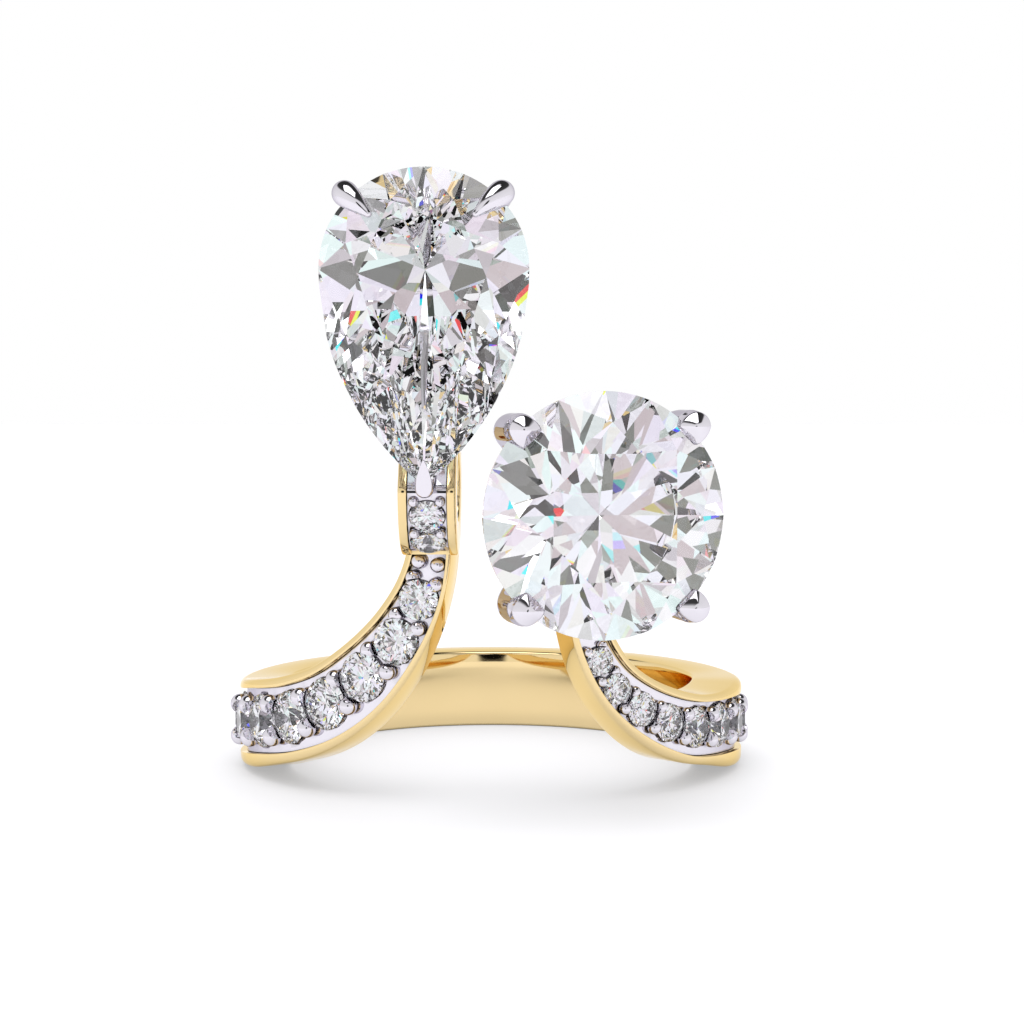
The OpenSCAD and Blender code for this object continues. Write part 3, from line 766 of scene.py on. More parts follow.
@dataclass
class Collar:
    """The round loop on top of the pear arm, with its channel, bed and accent stones."""

    run: BandRun
    outer_d: float = 4.84
    hole_d: float = 2.4
    width: float = 2.0
    rail: float = 0.3
    channel_depth: float = 0.8
    bed_recess: float = 0.15
    proud: float = 0.55
    rise: float = 1.06
    azimuth: float = -11.4
    turn: float = 1.2
    soft: float = 0.07
    rail_edge: float = 0.02
    bevel_turn: float = 60.0
    channel_start: float = -50.0
    channel_end: float = 94.0
    gap: float = 0.03
    ring_step: float = 3.0
    accent_d: float = 1.22
    accent_lift: float = 0.05
    accent_angles: tuple[float, ...] = (24.0, 56.0)
    bead_angles: tuple[float, ...] = (10.0, 40.0)
    bead_share: float = 0.15

    @property
    def radius(self) -> float:
        """Outer radius of the loop."""
        return self.outer_d / 2

    @property
    def bed_r(self) -> float:
        """Radius of the white bed's face."""
        return self.radius - self.bed_recess

    @property
    def centre(self) -> Vector:
        """The loop's centre."""
        outer, height = self.run.outer_r, self.run.mid_h + self.run.pear_arm_h + self.rise
        return Vector((outer * math.sin(math.radians(self.azimuth)), -outer - self.proud, height))

    def place(self) -> Matrix:
        """Gives the loop's frame.

        Returns:
            A matrix with X to the front, Y down and Z along the loop's axis.
        """
        return (
            Matrix.Translation(self.centre)
            @ Matrix.Rotation(math.radians(-90 - self.turn), 4, "Z")
            @ Matrix.Rotation(math.radians(-90), 4, "X")
        )

    def standing(self, angle: float, radius: float, offset: float = 0.0) -> Matrix:
        """Gives the place of a shape that stands on the loop.

        Args:
            angle: how far below the front, in degrees.
            radius: how far from the loop's axis.
            offset: how far along it.

        Returns:
            A matrix whose Z points outwards.
        """
        return (
            self.place()
            @ Matrix.Rotation(math.radians(angle), 4, "Z")
            @ Matrix.Translation((radius, 0.0, offset))
            @ Matrix.Rotation(math.radians(90), 4, "Y")
        )

    def bevel(self, angle: float) -> float:
        """Works out the flat bevel above the loop's front.

        Args:
            angle: how far below the front, in degrees.

        Returns:
            How far the bevel cuts in there.
        """
        if not -self.bevel_turn < angle < 0.0:
            return 0.0
        half = math.radians(self.bevel_turn / 2)
        return self.radius * (1 - math.cos(half) / math.cos(math.radians(angle) + half))

    def ring(self, angle: float, outline: Iterable[tuple[float, float]]) -> list[Vector]:
        """Turns an outline to an angle around the loop.

        Args:
            angle: how far below the front, in degrees.
            outline: pairs of offset and radius.

        Returns:
            The points. Those outside the hole's rim follow the bevel.
        """
        a, place, cut = math.radians(angle), self.place(), self.bevel(angle)
        inner = self.hole_d / 2 + 2 * self.soft
        made = []
        for offset, radius in outline:
            reach = radius - cut if radius > inner else radius
            made.append(place @ Vector((reach * math.cos(a), reach * math.sin(a), offset)))
        return made

    def outline(self, is_open: bool) -> list[tuple[float, float]]:
        """Gives the loop's section.

        Args:
            is_open: whether the channel is cut there.

        Returns:
            Pairs of offset and radius.
        """
        half, soft, hole = self.width / 2, self.soft, self.hole_d / 2
        wall, floor = half - self.rail, self.radius - self.channel_depth
        return [
            *arc((-half + soft, hole + soft), soft, 270, 180, 3),
            *arc((-half + soft, self.radius - soft), soft, 180, 90, 3),
            *channel_outline(-wall, wall, self.radius, floor, self.rail_edge, is_open),
            *arc((half - soft, self.radius - soft), soft, 90, 0, 3),
            *arc((half - soft, hole + soft), soft, 0, -90, 3),
        ]

    def build_loop(self) -> Object:
        """Builds the loop.

        Returns:
            The piece.
        """
        ends, near = (self.channel_start, self.channel_end), 0.05
        even = [-180 + self.ring_step * i for i in range(round(360 / self.ring_step) + 1)]
        angles = sorted(
            [a for a in even if min(abs(a - end) for end in ends) > 1.0]
            + [end + side * near for end in ends for side in (-1, 1)]
        )
        rings = [
            self.ring(a, self.outline(self.channel_start < a < self.channel_end)) for a in angles
        ]
        bm = bmesh.new()
        swept_skin(bm, rings)
        return finish_mesh(bm, "pear_loop", "shank", Slot.YELLOW_GOLD, smooth_below=35.0)

    def build_bed(self, stones: "StoneCutter") -> Object:
        """Builds the white bed in the loop's channel, with its beads.

        Args:
            stones: the cutter, which knows the seats.

        Returns:
            The piece.
        """
        half = self.width / 2 - self.rail - self.gap
        floor = self.radius - self.channel_depth + self.gap
        steps = 6
        top = [(-half + 2 * half * i / steps, self.bed_r) for i in range(steps + 1)]
        outline = [(-half, floor), *top, (half, floor)]
        turn = math.degrees(self.gap / self.radius)
        first, last = self.channel_start + turn, self.channel_end - turn
        count = round((last - first) / self.ring_step)
        bm = bmesh.new()
        swept_skin(bm, [
            self.ring(first + (last - first) * i / count, outline) for i in range(count + 1)
        ])
        cutter = bmesh.new()
        for angle in self.accent_angles:
            merge_into(cutter, stones.seat(
                self.accent_d, self.standing(angle, self.bed_r + self.accent_lift)))
        bm = carved(bm, cutter)
        spread = half - self.gap - self.bead_share * self.accent_d
        for angle in self.bead_angles:
            for side in (-1, 1):
                add_bead(bm, self.standing(angle, self.bed_r, side * spread),
                         self.bead_share * self.accent_d)
        return finish_mesh(bm, "loop_bed", "collar_bed", Slot.WHITE_GOLD, smooth_below=40.0)

    def build_stones(self, stones: "StoneCutter") -> None:
        """Builds the loop's accent stones.

        Args:
            stones: the cutter.
        """
        for i, angle in enumerate(self.accent_angles, start=1):
            place = self.standing(angle, self.bed_r + self.accent_lift)
            accent_stone(stones, f"collar_accent_{i}", self.accent_d, place)


def add_bead(bm: BMesh, place: Matrix, radius: float) -> None:
    """Adds one bead of metal that stands on a bed.

    Args:
        bm: the mesh that it goes into.
        place: the frame on the bed's face, with Z outwards.
        radius: the bead's radius.
    """
    centre = place @ Matrix.Translation((0.0, 0.0, 0.7 * radius))
    bmesh.ops.create_uvsphere(
        bm, u_segments=BEAD_SIDES, v_segments=BEAD_RINGS, radius=radius, matrix=centre)


def carved(bm: BMesh, cutter: BMesh) -> BMesh:
    """Cuts one closed mesh out of another.

    Args:
        bm: the mesh that is cut, which is used up.
        cutter: what is taken away, which is used up.

    Returns:
        The cut mesh.
    """
    objects = []
    for name, part in (("carved_body", bm), ("carving_tool", cutter)):
        bmesh.ops.recalc_face_normals(part, faces=part.faces)
        mesh = bpy.data.meshes.new(name)
        part.to_mesh(mesh)
        part.free()
        made = bpy.data.objects.new(name, mesh)
        bpy.context.scene.collection.objects.link(made)
        objects.append(made)
    body, tool = objects
    cut = body.modifiers.new("cut", "BOOLEAN")
    cut.operation = "DIFFERENCE"
    cut.solver = "EXACT"
    cut.use_self = True
    cut.object = tool
    depsgraph = bpy.context.evaluated_depsgraph_get()
    result = bmesh.new()
    result.from_object(body, depsgraph)
    for made in objects:
        mesh = made.data
        bpy.data.objects.remove(made)
        bpy.data.meshes.remove(mesh)
    return result


def spun(bm: BMesh, geom: Sequence[BMVert | BMEdge], place: Matrix, steps: int) -> None:
    """Spins an open shape in the XZ plane a full turn about Z, and places the body.

    Args:
        bm: the mesh, which holds nothing but the shape.
        geom: the shape's points and edges.
        place: the matrix that places the body.
        steps: how many parts a full turn has.
    """
    bmesh.ops.spin(
        bm, geom=geom, cent=(0, 0, 0), axis=(0, 0, 1), dvec=(0, 0, 0), angle=math.tau,
        steps=steps, use_merge=True, use_normal_flip=False, use_duplicate=False)
    bmesh.ops.remove_doubles(bm, verts=bm.verts, dist=WELD)
    bmesh.ops.transform(bm, matrix=place, verts=bm.verts)


def turned(profile: Sequence[tuple[float, float]], place: Matrix, steps: int) -> BMesh:
    """Turns a profile about the Z axis.

    Args:
        profile: pairs of radius and height. Ends on the axis close the body.
        place: the matrix that places it.
        steps: how many parts a full turn has.

    Returns:
        The turned mesh.
    """
    bm = bmesh.new()
    points = [bm.verts.new((r, 0.0, z)) for r, z in profile]
    edges = [bm.edges.new(pair) for pair in zip(points, points[1:])]
    spun(bm, [*points, *edges], place, steps)
    return bm


# Stones

@dataclass(frozen=True)
class Plane:
    """A plane that cuts a stone. The stone lies behind it."""

    point: Vector
    normal: Vector

    @staticmethod
    def through(a: Vector, b: Vector, c: Vector, part: Part) -> "Plane":
        """Makes the plane through three points.

        Args:
            a: a point of the plane.
            b: another.
            c: the third.
            part: the crown, where it faces up, or the pavilion, where it faces down.

        Returns:
            The plane.
        """
        normal = (b - a).cross(c - a).normalized()
        if normal.z * part.value < 0:
            normal = -normal
        return Plane(a, normal)

    def meet(self, other: "Plane", height: float) -> Vector:
        """Finds the point where two planes meet at a height.

        Args:
            other: the other plane.
            height: the height.

        Returns:
            The point.
        """
        rows = Matrix((self.normal, other.normal, Vector((0, 0, 1))))
        sides = (self.normal.dot(self.point), other.normal.dot(other.point), height)
        return rows.inverted() @ Vector(sides)


@dataclass
class StoneCutter:
    """Cuts stones the way a lapidary does: one plane for each facet."""

    crown_share: float = 0.15
    girdle_share: float = 0.02
    pavilion_share: float = 0.43
    table_share: float = 0.547
    pear_table_share: float = 0.6
    pear_w: float = 7.1
    pear_point: float = 7.3
    pear_round: float = 3.4
    gap: float = 0.03
    seat_gap: float = 0.07
    round_half_share: float = 0.23
    pear_half_share: float = 0.3
    main_sides: int = 96
    accent_sides: int = 32
    seat_steps: int = 48

    def round_edge(self, d: float) -> Callable[[float], Vector]:
        """Gives the outline of a round stone.

        Args:
            d: its diameter.

        Returns:
            A function of the share of the way round.
        """
        def edge(share: float) -> Vector:
            """The point of the circle at a share of the way round."""
            a = math.tau * (share + 1 / 16)
            return Vector((d / 2 * math.cos(a), d / 2 * math.sin(a), 0.0))
        return edge

    def pear_edge(self, grow: float) -> Callable[[float], Vector]:
        """Gives the outline of the pear stone, from its right side over the rounded end.

        Args:
            grow: a clearance that is added all round.

        Returns:
            A function of the share of the way round.
        """
        half, point, top = self.pear_w / 2 + grow, self.pear_point + grow, self.pear_round + grow

        def edge(share: float) -> Vector:
            """Finds a point of the outline.

            Args:
                share: the share of the way round.

            Returns:
                The point.
            """
            share %= 1.0
            if share <= 0.5:
                a = math.tau * share
                return Vector((half * math.cos(a), top * math.sin(a), 0.0))
            s = min(math.sin(math.tau * (share - 0.5)), 1.0)
            side = -1 if share < 0.75 else 1
            return Vector((side * half * (1 - s**2.15) ** 0.9, -point * s, 0.0))
        return edge

    def cut(
        self,
        edge: Callable[[float], Vector],
        width: float,
        table_share: float,
        table_centre: Vector,
        half_share: float,
        sides: int,
        grow: float = 0.0,
    ) -> BMesh:
        """Cuts one stone, with its girdle at the origin and its table towards +Z.

        Args:
            edge: the outline, as a function of the share of the way round.
            width: the stone's width, which its heights are shares of.
            table_share: how far the table's corners lie out towards the outline.
            table_centre: the point that they are drawn in towards.
            half_share: how far down the lower facets start, as a share of the pavilion.
            sides: how many sides the girdle has.
            grow: a clearance that is added to the heights.

        Returns:
            The stone's mesh.
        """
        girdle = width * self.girdle_share / 2 + grow
        top = girdle + width * self.crown_share
        bottom = -girdle - width * self.pavilion_share
        up, culet = Vector((0, 0, girdle)), Vector((0, 0, bottom))
        mains = [edge(k / 8) for k in range(8)]
        betweens = [edge((k + 0.5) / 8) for k in range(8)]
        lean = 1e-3
        tangents = [(edge(k / 8 + lean) - edge(k / 8 - lean)).normalized() for k in range(8)]
        corners = [
            table_centre + table_share * (p - table_centre) + Vector((0, 0, top)) for p in mains]
        star = (table_share * math.cos(math.pi / 8) + 1) / 2
        star_z = top - (top - girdle) * (star * math.cos(math.pi / 8) - table_share) / (
            1 - table_share)
        half_z = bottom + (-girdle - bottom) * half_share * math.cos(math.pi / 8)
        bezels = [
            Plane.through(p + up, c, p + up + t, Part.CROWN)
            for p, c, t in zip(mains, corners, tangents)]
        keels = [
            Plane.through(p - up, culet, p - up + t, Part.PAVILION)
            for p, t in zip(mains, tangents)]
        planes = [Plane(Vector((0, 0, top)), Vector((0, 0, 1))), *bezels, *keels]
        for k in range(8):
            after = (k + 1) % 8
            tip = bezels[k].meet(bezels[after], star_z)
            low = keels[k].meet(keels[after], half_z)
            planes.append(Plane.through(corners[k], corners[after], tip, Part.CROWN))
            for end in (mains[k], mains[after]):
                planes.append(Plane.through(tip, end + up, betweens[k] + up, Part.CROWN))
                planes.append(Plane.through(low, end - up, betweens[k] - up, Part.PAVILION))
        bm = bmesh.new()
        bmesh.ops.create_circle(bm, cap_ends=True, segments=sides, radius=1.0)
        bm.verts.ensure_lookup_table()
        for i, vert in enumerate(bm.verts):
            vert.co = edge(i / sides) + Vector((0, 0, bottom - 1.0))
        made = bmesh.ops.extrude_face_region(bm, geom=bm.faces[:])
        tops = [v for v in made["geom"] if isinstance(v, BMVert)]
        bmesh.ops.translate(bm, vec=(0, 0, top - bottom + 2.0), verts=tops)
        for plane in planes:
            self.slice(bm, plane)
        bmesh.ops.recalc_face_normals(bm, faces=bm.faces)
        return bm

    def slice(self, bm: BMesh, plane: Plane) -> None:
        """Takes away what lies in front of a plane, and closes the cut.

        Args:
            bm: the mesh that is cut.
            plane: the plane.
        """
        made = bmesh.ops.bisect_plane(
            bm, geom=[*bm.verts, *bm.edges, *bm.faces], dist=WELD,
            plane_co=plane.point, plane_no=plane.normal, clear_outer=True)
        rim = [e for e in made["geom_cut"] if isinstance(e, BMEdge)]
        open_rim = [e for e in rim if e.is_boundary]
        if open_rim:
            bmesh.ops.edgeloop_fill(bm, edges=open_rim)

    def round_stone(self, d: float, place: Matrix, sides: int, grow: float = 0.0) -> BMesh:
        """Cuts a round brilliant.

        Args:
            d: its diameter.
            place: where it sits.
            sides: how many sides its girdle has.
            grow: a clearance all round.

        Returns:
            The stone's mesh.
        """
        bm = self.cut(self.round_edge(d + 2 * grow), d, self.table_share, Vector(),
                      self.round_half_share, sides, grow)
        bmesh.ops.transform(bm, matrix=place, verts=bm.verts)
        return bm

    def pear_stone(self, place: Matrix, grow: float = 0.0) -> BMesh:
        """Cuts the pear stone.

        Args:
            place: where it sits.
            grow: a clearance all round.

        Returns:
            The stone's mesh.
        """
        table_centre = Vector((0.0, -self.pear_point / 9, 0.0))
        bm = self.cut(self.pear_edge(grow), self.pear_w, self.pear_table_share, table_centre,
                      self.pear_half_share, self.main_sides, grow)
        bmesh.ops.transform(bm, matrix=place, verts=bm.verts)
        return bm

    def seat(self, d: float, place: Matrix) -> BMesh:
        """Makes the body that cuts a seat for a round stone, open towards +Z.

        Args:
            d: the stone's diameter.
            place: where the stone sits.

        Returns:
            The cutting body.
        """
        r = d / 2 + self.seat_gap
        girdle = d * self.girdle_share / 2 + self.gap
        mouth = d / 2
        profile = [
            (0.0, -girdle - d * self.pavilion_share), (r, -girdle), (r, mouth), (0.0, mouth)]
        return turned(profile, place, self.seat_steps)


# Accent stones and their white beds

@dataclass(frozen=True)
class AccentRow:
    """The accent stones of one arm, counted from its top end."""

    arm: str
    first_d: float
    last_d: float
    count: int
    start: float
    ease: float
    runs_on: bool
    extra_pairs: int
    space: float = 0.2

    def diameters(self) -> list[float]:
        """The diameters of the stones."""
        shares = [math.sin(math.pi / 2 * i / (self.count - 1)) for i in range(self.count)]
        return [self.first_d + (self.last_d - self.first_d) * s**self.ease for s in shares]

    def places(self, run: BandRun) -> list[float]:
        """Finds the stones' distances along the run.

        Args:
            run: the band's path.

        Returns:
            One distance for each stone.
        """
        sizes = self.diameters()
        reach = [0.0]
        for before, after in zip(sizes, sizes[1:]):
            reach.append(reach[-1] + (before + after) / 2 + self.space)
        if self.runs_on:
            return [self.start + r for r in reach]
        low_end = float(run.knots[len(PEAR_ARM_ROWS) + 1])
        return [low_end + self.start + reach[-1] - r for r in reach]


PEAR_ROW = AccentRow("pear_arm", 1.49, 2.13, 8, 3.15, 0.75, True, 1)
ROUND_ROW = AccentRow("round_arm", 1.05, 1.88, 9, 1.42, 1.3, False, 0)


@dataclass
class ChannelBed:
    """The white strip in one arm's channel, its beads and its accent stones."""

    run: BandRun
    shank: Shank
    row: AccentRow
    ends: tuple[float, float]
    cutter: StoneCutter
    recess: float = 0.27
    lift: float = 0.12
    gap: float = 0.03
    top_steps: int = 8
    bead_share: float = 0.185
    bead_offset: float = 0.3
    top_bead_offset: float = 0.24
    top_pair_space: float = 0.67

    @property
    def face_r(self) -> float:
        """Radius of the strip's face."""
        return self.run.outer_r - self.recess

    def outline(self, distance: float) -> list[Vector]:
        """Gives the strip's section.

        Args:
            distance: how far along the run.

        Returns:
            Points of the ring.
        """
        section = self.run.section(distance)
        low, high = -section.wall_lower + self.gap, section.wall_upper - self.gap
        floor = self.run.outer_r - self.shank.channel_depth + self.gap
        steps = [low + (high - low) * i / self.top_steps for i in range(self.top_steps + 1)]
        pairs = [(low, floor), *((step, self.face_r) for step in steps), (high, floor)]
        return [self.run.point(distance, offset, radius) for offset, radius in pairs]

    def bead_places(self) -> list[tuple[float, float, float]]:
        """Lists the beads, two beside each gap between stones.

        Returns:
            The distance, offset and radius of each.
        """
        places, sizes = self.row.places(self.run), self.row.diameters()
        away = -1 if self.row.runs_on else 1
        pairs = [
            ((a + b) / 2, (d + e) / 2, self.bead_offset)
            for a, b, d, e in zip(places, places[1:], sizes, sizes[1:])
        ]
        first = places[0] + away * sizes[0] / 2
        pairs.append((first, sizes[0], self.bead_offset))
        for i in range(1, self.row.extra_pairs + 1):
            further = first + away * i * self.top_pair_space
            pairs.append((further, sizes[0], self.top_bead_offset))
        return [
            (distance, side * share * mean, self.bead_share * mean)
            for distance, mean, share in pairs for side in (-1, 1)
        ]

    def build_bed(self) -> Object:
        """Builds the strip with its seats and beads.

        Returns:
            The piece.
        """
        first, last = self.ends[0] + self.gap, self.ends[1] - self.gap
        count = round((last - first) / self.run.step)
        bm = bmesh.new()
        swept_skin(bm, [
            self.outline(first + (last - first) * i / count) for i in range(count + 1)
        ])
        for distance, offset, radius in self.bead_places():
            add_bead(bm, self.run.standing(distance, self.face_r, offset), radius)
        seats = bmesh.new()
        for distance, d in zip(self.row.places(self.run), self.row.diameters()):
            merge_into(seats, self.cutter.seat(d, self.stone_place(distance)))
        arm = self.row.arm
        return finish_mesh(
            carved(bm, seats), f"{arm}_strip", f"{arm}_bed", Slot.WHITE_GOLD, smooth_below=40.0)

    def stone_place(self, distance: float) -> Matrix:
        """The place of an accent stone's girdle at a distance."""
        return self.run.standing(distance, self.face_r + self.lift)

    def build_stones(self) -> list[Object]:
        """Builds the accent stones.

        Returns:
            The pieces, from the arm's top end.
        """
        pairs = zip(self.row.places(self.run), self.row.diameters())
        return [
            accent_stone(self.cutter, f"{self.row.arm}_accent_{i}", d, self.stone_place(distance))
            for i, (distance, d) in enumerate(pairs, start=1)
        ]


def accent_stone(cutter: StoneCutter, node: str, d: float, place: Matrix) -> Object:
    """Builds one small round stone in the place of its node.

    Args:
        cutter: the cutter of the stones.
        node: the node that it stands for.
        d: its diameter.
        place: where it sits.

    Returns:
        The piece.
    """
    stone = cutter.round_stone(d, place, cutter.accent_sides)
    return finish_mesh(stone, f"{node}_cut", node, Slot.DIAMOND)


# Wires, claws and the two heads

@dataclass(frozen=True)
class Stop:
    """A point that a wire goes through, with the wire's radius there."""

    x: float
    y: float
    z: float
    radius: float

    def mirrored(self) -> "Stop":
        """The same stop on the other side of the YZ plane."""
        return Stop(-self.x, self.y, self.z, self.radius)


@dataclass(frozen=True)
class Wire:
    """A round wire or claw on a smooth path, with rounded ends."""

    stops: tuple[Stop, ...]
    steps: int = 10
    sides: int = 28
    end_steps: int = 6

    def centres(self) -> np.ndarray:
        """Works out the path, as rows of x, y, z and radius.

        Returns:
            The rows, on a smooth curve through the stops.
        """
        knots = np.array([(s.x, s.y, s.z, s.radius) for s in self.stops])
        padded = np.vstack([2 * knots[0] - knots[1], knots, 2 * knots[-1] - knots[-2]])
        rows = []
        for i in range(1, len(padded) - 2):
            p0, p1, p2, p3 = padded[i - 1:i + 3]
            for t in np.linspace(0.0, 1.0, self.steps, endpoint=False):
                rows.append(0.5 * (
                    2 * p1 + (p2 - p0) * t + (2 * p0 - 5 * p1 + 4 * p2 - p3) * t**2
                    + (3 * p1 - p0 - 3 * p2 + p3) * t**3))
        return np.array([*rows, knots[-1]])

    def build(self, place: Matrix) -> BMesh:
        """Builds the wire.

        Args:
            place: the frame that its stops are in.

        Returns:
            The closed mesh.
        """
        rows = self.centres()
        points = [Vector(row[:3]) for row in rows]
        radii = [float(row[3]) for row in rows]
        tangents = [
            (points[min(i + 1, len(points) - 1)] - points[max(i - 1, 0)]).normalized()
            for i in range(len(points))
        ]
        side = tangents[0].orthogonal().normalized()
        rings = []

        turns = [math.tau * k / self.sides for k in range(self.sides)]

        def ring(centre: Vector, radius: float, along: Vector) -> list[Vector]:
            """Makes one ring of the wire's skin.

            Args:
                centre: its centre.
                radius: its radius.
                along: the wire's direction there.

            Returns:
                The points, placed.
            """
            other = along.cross(side)
            return [
                place @ (centre + radius * (math.cos(a) * side + math.sin(a) * other))
                for a in turns
            ]

        bends = [math.pi / 2 * k / self.end_steps for k in range(self.end_steps)]
        for a in bends:
            back = points[0] - tangents[0] * radii[0] * math.cos(a)
            rings.append(ring(back, radii[0] * math.sin(a), tangents[0]))
        for point, radius, along in zip(points, radii, tangents):
            side = (side - along * side.dot(along)).normalized()
            rings.append(ring(point, radius, along))
        for a in reversed(bends):
            ahead = points[-1] + tangents[-1] * radii[-1] * math.cos(a)
            rings.append(ring(ahead, radii[-1] * math.sin(a), tangents[-1]))
        bm = bmesh.new()
        swept_skin(bm, rings)
        return bm


def base_ring(radius: float, depth: float, d: float, place: Matrix) -> BMesh:
    """Makes the round ring at the base of a head.

    Args:
        radius: the ring's own radius.
        depth: how far it lies behind the girdle.
        d: the diameter of its wire.
        place: the frame of the stone.

    Returns:
        The closed mesh.
    """
    bm = bmesh.new()
    section = (
        Matrix.Translation((radius, 0.0, -depth)) @ Matrix.Rotation(math.pi / 2, 4, "X"))
    bmesh.ops.create_circle(
        bm, cap_ends=False, segments=BASE_WIRE_SIDES, radius=d / 2, matrix=section)
    spun(bm, [*bm.verts, *bm.edges], place, BASE_RING_STEPS)
    return bm


def drum(radius: float, low: float, high: float, place: Matrix) -> BMesh:
    """Makes a plain round cutting body between two heights of a frame."""
    return turned([(0.0, low), (radius, low), (radius, high), (0.0, high)], place, DRUM_STEPS)


@dataclass
class PearHead:
    """The white head of the pear stone: ring, shoulder wires, stem, keel and claws."""

    cutter: StoneCutter
    loop: Collar
    out: float = 3.45
    up: float = 0.2
    wire_d: float = 0.8
    base_r: float = 1.5
    base_depth: float = 3.1
    gap: float = 0.03

    def place(self) -> Matrix:
        """Gives the frame of the pear stone.

        Returns:
            A matrix with X to the side, Y up and Z to the front.
        """
        return (
            Matrix.Translation(self.loop.centre)
            @ Matrix.Rotation(math.radians(-self.loop.turn), 4, "Z")
            @ Matrix.Rotation(math.pi / 2, 4, "X")
            @ Matrix.Translation((0.0, self.up + self.cutter.pear_point, self.out))
        )

    def shoulder(self) -> tuple[Stop, ...]:
        """Gives one of the two wires that hold the rounded end.

        Returns:
            The wire's stops, up to the tip of its claw.
        """
        w, r, wire = self.cutter.pear_w, self.cutter.pear_round, self.wire_d / 2
        return (
            Stop(0.72 * self.base_r, 0.69 * self.base_r, -self.base_depth, wire),
            Stop(0.325 * w, 0.642 * r, -0.4 * self.base_depth, wire),
            Stop(0.369 * w, 0.729 * r, 0.0, 1.05 * wire),
            Stop(0.362 * w, 0.716 * r, 0.38, 1.1 * wire),
            Stop(0.315 * w, 0.63 * r, 0.72, 0.85 * wire),
            Stop(0.251 * w, 0.51 * r, 0.93, 0.3 * wire),
        )

    def build(self) -> Object:
        """Builds the head.

        Returns:
            The piece.
        """
        place, wire = self.place(), self.wire_d / 2
        keel = 0.7 * wire
        tip_y = -self.cutter.pear_point - 0.12
        foot_y = -self.cutter.pear_point - self.up + self.loop.radius - 0.2
        body = bmesh.new()
        merge_into(body, base_ring(self.base_r, self.base_depth, self.wire_d, place))
        shoulder = self.shoulder()
        merge_into(body, Wire(shoulder).build(place))
        merge_into(body, Wire(tuple(stop.mirrored() for stop in shoulder)).build(place))
        stem = (
            Stop(0.0, -self.base_r, -self.base_depth, wire),
            Stop(0.0, foot_y, -self.out, wire),
        )
        merge_into(body, Wire(stem).build(place))
        keel_stops = (
            Stop(0.0, foot_y + 0.5, -self.out, keel),
            Stop(0.0, -0.71 * self.cutter.pear_point, -0.5 * self.out, keel),
            Stop(0.0, tip_y + 1.0, -0.85, keel),
            Stop(0.0, tip_y, -0.7, keel),
        )
        merge_into(body, Wire(keel_stops).build(place))
        loop_r, width = self.loop.radius + self.gap, self.loop.width
        body = carved(body, drum(loop_r, -width / 2, width / 2, self.loop.place()))
        bed_face = self.out - self.loop.bed_r - self.gap
        tip = (
            Stop(0.0, tip_y, -bed_face + keel, keel),
            Stop(0.0, tip_y, -0.25, keel * 1.15),
            Stop(0.0, tip_y + 0.02, 0.1, 0.3),
            Stop(0.0, tip_y + 0.3, 0.3, 0.26),
            Stop(0.0, tip_y + 0.64, 0.42, 0.17),
            Stop(0.0, tip_y + 0.95, 0.5, 0.05),
        )
        claw = Wire(tip).build(Matrix())
        self.cutter.slice(claw, Plane(Vector((0.0, tip_y, 0.27)), Vector((0.0, -0.28, 0.96))))
        bmesh.ops.transform(claw, matrix=place, verts=claw.verts)
        merge_into(body, claw)
        body = carved(body, self.cutter.pear_stone(place, self.gap))
        return finish_mesh(body, "pear_head_wires", "pear_head", Slot.WHITE_GOLD, smooth_below=45.0)

    def build_stone(self) -> Object:
        """Builds the pear stone."""
        stone = self.cutter.pear_stone(self.place())
        return finish_mesh(stone, "pear_stone_cut", "pear_stone", Slot.DIAMOND)


@dataclass(frozen=True)
class Prong:
    """A prong's angle around the round stone, and how far its end stands off to the side
    and up."""

    angle: float
    side: float
    up: float


